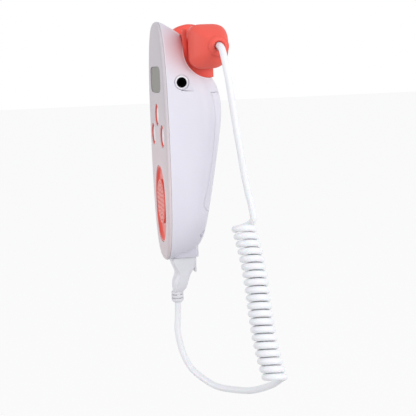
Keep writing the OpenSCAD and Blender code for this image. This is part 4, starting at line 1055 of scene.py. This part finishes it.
def make_skirt(looks):
    """The skirt round the probe socket: a wall with rounded rims, thinner at the back."""
    half, y0, y1, low, high = SKIRT
    rim = [(0.35, low), (0.1, low + 0.1), (0, low + 0.35), (0, high)]
    skirt = stepped("socket_skirt_wall", lambda d: skirt_outline(-d), rim, "plan")
    a, b, c = half - SKIRT_WALL, y0 + SKIRT_WALL, y1 - SKIRT_BACK_WALL
    steps = [(0.3, low - 1), (0.3, low), (0.05, low + 0.3), (0, low + 0.6), (0, high + 1)]
    combine(skirt, stepped("skirt_hollow", lambda d: rounded(
        [(-a - d, b - d, 1.5), (a + d, b - d, 1.5), (a + d, c + d, 1.5), (-a - d, c + d, 1.5)],
        steps=7), steps, "plan"))
    finish_piece(skirt, "handset", looks["skirt"], ["socket_skirt"])


def make_cradle(looks):
    """The coral cradle: a trough with a tall front wall, whose two ends stand up as ears."""
    tail = math.acos((CRADLE_BACK - SADDLE_Y) / CRADLE_R)
    turns = np.concatenate([np.radians(np.linspace(180, 270, 31)),
                            np.linspace(1.5 * math.pi, 2 * math.pi - tail, 12)[1:]])
    under = arc_points(SADDLE_Y, SADDLE_Z, CRADLE_R, turns)
    channel = arc_points(PROBE_Y, PROBE_Z, CHANNEL_R, np.linspace(-math.pi / 2, -math.pi, 31))

    def profile(top):
        wall = [[PROBE_Y - CHANNEL_R, top], [SADDLE_Y - CRADLE_R, top]]
        return np.concatenate([under, [[CRADLE_BACK, PROBE_Z - CHANNEL_R]], channel, wall])

    inner = CRADLE_HALF - EAR_W
    steps = [(EAR_TOP, -CRADLE_HALF), (EAR_TOP, -inner), (CRADLE_TOP, -inner),
             (CRADLE_TOP, inner), (EAR_TOP, inner), (EAR_TOP, CRADLE_HALF)]
    cradle = stepped("probe_cradle_trough", profile, steps, "side")
    soften(cradle, 0.4, 3, 50)
    finish_piece(cradle, "handset", looks["coral"], ["probe_cradle"])


def make_probe(looks):
    """The probe: neck and transducer head, the white face, and the domed cap at the cord end."""
    inner = NECK_R - 2
    flare = [(HEAD_X - 3 * math.sin(a), NECK_R + (HEAD_R - 1.6 - NECK_R) * (1 - math.cos(a)))
             for a in np.linspace(0, math.pi / 2, 12)]
    shoulder = [(HEAD_X - 4.6 + 1.6 * math.cos(a), HEAD_R - 1.6 + 1.6 * math.sin(a))
                for a in np.linspace(0, math.pi / 2, 9)[1:]]
    end = [(HEAD_END + 1, HEAD_R), (HEAD_END + 0.3, HEAD_R - 0.2), (HEAD_END, HEAD_R - 0.8),
           (HEAD_END, HEAD_R - 2), (HEAD_X - 6, HEAD_R - 2), (HEAD_X - 4, inner), (CAP_X, inner)]
    profile = [(CAP_X, NECK_R), (HEAD_X + 12, NECK_R)] + flare + shoulder + end
    profile = np.array(profile + profile[:1])
    body = turned("probe_handle", profile, "x", PROBE_AXIS, 128)
    finish_piece(body, "probe", looks["coral"], ["probe_body"])

    rim = HEAD_R - 2 - FIT
    profile = rounded([(HEAD_END + 2, 0, 0), (HEAD_END + 2, rim, 0), (HEAD_END, rim, 0.2),
                       (HEAD_END - 0.5, rim - 1.2, 1), (HEAD_END - 0.9, rim - 4, 3),
                       (HEAD_END - 1.1, 0, 0)], closed=False, steps=6)
    face = turned("transducer_pad", profile, "x", PROBE_AXIS, 96)
    finish_piece(face, "probe", looks["face"], ["transducer_face"])

    angle = np.linspace(0, 2 * math.pi, 160, endpoint=False)
    power = np.where(np.cos(angle) < 0, np.where(np.sin(angle) > 0, 5.0, 3.4),
                     np.where(np.sin(angle) > 0, 3.0, 2.5))
    y, z = superellipse(angle, CAP_HALF_Y, CAP_HALF_Z, power)
    y = np.maximum(y, -CAP_FLAT)
    edge = [(CAP_X, 0.94), (CAP_X + 0.1, 0.96), (CAP_X + 0.4, 0.98), (CAP_X + 1.0, 1.0)]
    share = np.concatenate([1 - np.linspace(0, 0.45, 19) ** 1.6, np.linspace(0.65, 0, 14)])
    dome = [(CAP_STRAIGHT + CAP_DOME * (1 - s ** DOME_POWER) ** (1 / DOME_POWER), s)
            for s in share]
    rings = [np.stack([0 * y + x, PROBE_Y + s * y + (1 - s) * (BOSS_Y - PROBE_Y),
                       PROBE_Z + s * z + (1 - s) * (BOSS_Z - PROBE_Z)], -1)
             for x, s in edge + dome]
    cap = solid("probe_end_cap", [(np.array(rings), True)], [rings[0]])
    top = CAP_STRAIGHT + CAP_DOME
    boss = rounded([(CAP_STRAIGHT, 0, 0), (CAP_STRAIGHT, BOSS_R, 0), (top - 1.0, BOSS_R, 0.6),
                    (top - 0.1, BOSS_R - 1.3, 0.8), (top - 0.1, 0, 0)], closed=False)
    fused(cap, turned("boss", boss, "x", BOSS_AXIS, 72))
    r = CORD_D / 2
    combine(cap, turned("cord_way", [
        (CAP_X - 1, 0), (CAP_X - 1, 4.35), (40, 4.35), (40, r + 0.4), (top - 1.4, r + 0.5),
        (top - 0.6, r + 0.8), (top, r + 1.4), (top + 3, 5), (top + 3, 0)], "x", BOSS_AXIS, 64))
    finish_piece(cap, "probe", looks["coral"], ["probe_cap"], angle=40)


def make_plug(looks):
    """The plug's grip, with chamfered front edges, and its slotted strain relief."""
    share = np.linspace(0, 1, 61)
    y0, y1, half = (smooth_through(GRIP_SECTIONS[:, 0], GRIP_SECTIONS[:, k], share)
                    for k in (1, 2, 3))
    rings, heights = [], GRIP_LOW + share * (GRIP_TOP - GRIP_LOW)
    for s, a, b, w in zip(share, y0, y1, half):
        facet = max(0.0, math.sin(math.pi * min(1.0, s / FACET_TOP)))
        cut = min(0.35 + FACET * facet, 0.36 * w)
        rings.append(rounded([(-w + cut, a, 0.35), (w - cut, a, 0.35), (w, a + cut, 0.35),
                              (w, b, 1.6), (-w, b, 1.6), (-w, a + cut, 0.35)], steps=6))
    grip = stack("plug_handle", rings, heights, "plan")
    half, front, back, low, high = LATCH_SLOT
    slot = rounded([(-half, front, 0.4), (half, front, 0.4), (half, back, 0), (-half, back, 0)],
                   steps=4)
    combine(grip, prism("latch_slot", slot, low, high, "plan"))
    finish_piece(grip, "plug", looks["grip"], ["plug_grip"])

    r = RELIEF_R
    profile = rounded([(RELIEF_LOW, 0, 0), (RELIEF_LOW, r - 1.0, 0.5), (RELIEF_LOW + 0.9, r, 0.6),
                       (RELIEF_LOW + 6.4, r, 0.4), (RELIEF_LOW + 7, r - 0.4, 0),
                       (RELIEF_LOW + 7, 0, 0)], closed=False, steps=5)
    relief = turned("strain_relief_rings", profile, "z", (0, PLUG_Y, 0), 72)
    for low, middle in ((2.4, 0), (2.4, 180), (4.7, 90), (4.7, 270)):
        angle = np.radians(np.linspace(middle - 76, middle + 76, 25))
        arc = np.stack([np.cos(angle), np.sin(angle)], -1)
        flat = [0, PLUG_Y] + np.concatenate([(r + 1) * arc, (CORD_D / 2 + 0.5) * arc[::-1]])
        combine(relief, prism("slot", flat, RELIEF_LOW + low, RELIEF_LOW + low + SLOT_T, "plan"))
    finish_piece(relief, "plug", looks["grip"], ["strain_relief"])
    return [grip, relief]


# ---------------------------------------------------------------- pieces kept from the frame
KEPT = {
    "display_gasket": "foam", "display_module": "module", "speaker_gasket": "foam",
    "speaker_driver": "basket", "speaker_cone": "cone", "main_board": "board",
    "board_chips": "chip", "tact_switches": "steel", "probe_socket": "black",
    "socket_contacts": "gold", "socket_lead": "film", "battery_tray": "black",
    "battery_a": "cell", "battery_b": "cell", "battery_springs": "steel",
    "battery_plates": "steel", "door_foam": "foam", "case_screws": "steel",
    "tray_screws": "steel", "crystals": "crystal", "probe_board": "board",
    "cord_gland": "grip", "plug_nose": "clear", "plug_contacts": "gold", "plug_latch": "grip"}


def dress_kept(looks):
    """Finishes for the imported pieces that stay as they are."""
    for name, look in KEPT.items():
        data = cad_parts[name].data
        data.materials.clear()
        data.materials.append(looks[look])


# ---------------------------------------------------------------- the whole
make_camera()
GRAIN, EDGE_WEAR_AND_HIGHLIGHT, WARM, RIM_HIGHLIGHT = make_grain_group(), make_edge_wear_and_highlight_group(), make_warm_group(), make_rim_highlight_group()
looks = make_finishes()
cords = make_cords(looks)
make_world()
make_floor()
lamp("key", 1.0, 10.0, (1.2, 0.72, 0.3), (0, 0.02, 0))
lamp("front", 0.5, 3.4, (0.35, -1.2, 0.2), (0, 0, -0.03))
for make in (make_rear_shell, make_door, make_front_cover, make_display, make_buttons, make_speaker,
             make_jack, make_skirt, make_cradle, make_probe):
    make(looks)
on_plug = make_plug(looks)
dress_kept(looks)
on_plug += [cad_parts[name] for name in ("plug_nose", "plug_contacts", "plug_latch")]

bpy.context.scene.view_settings.view_transform = "Standard"
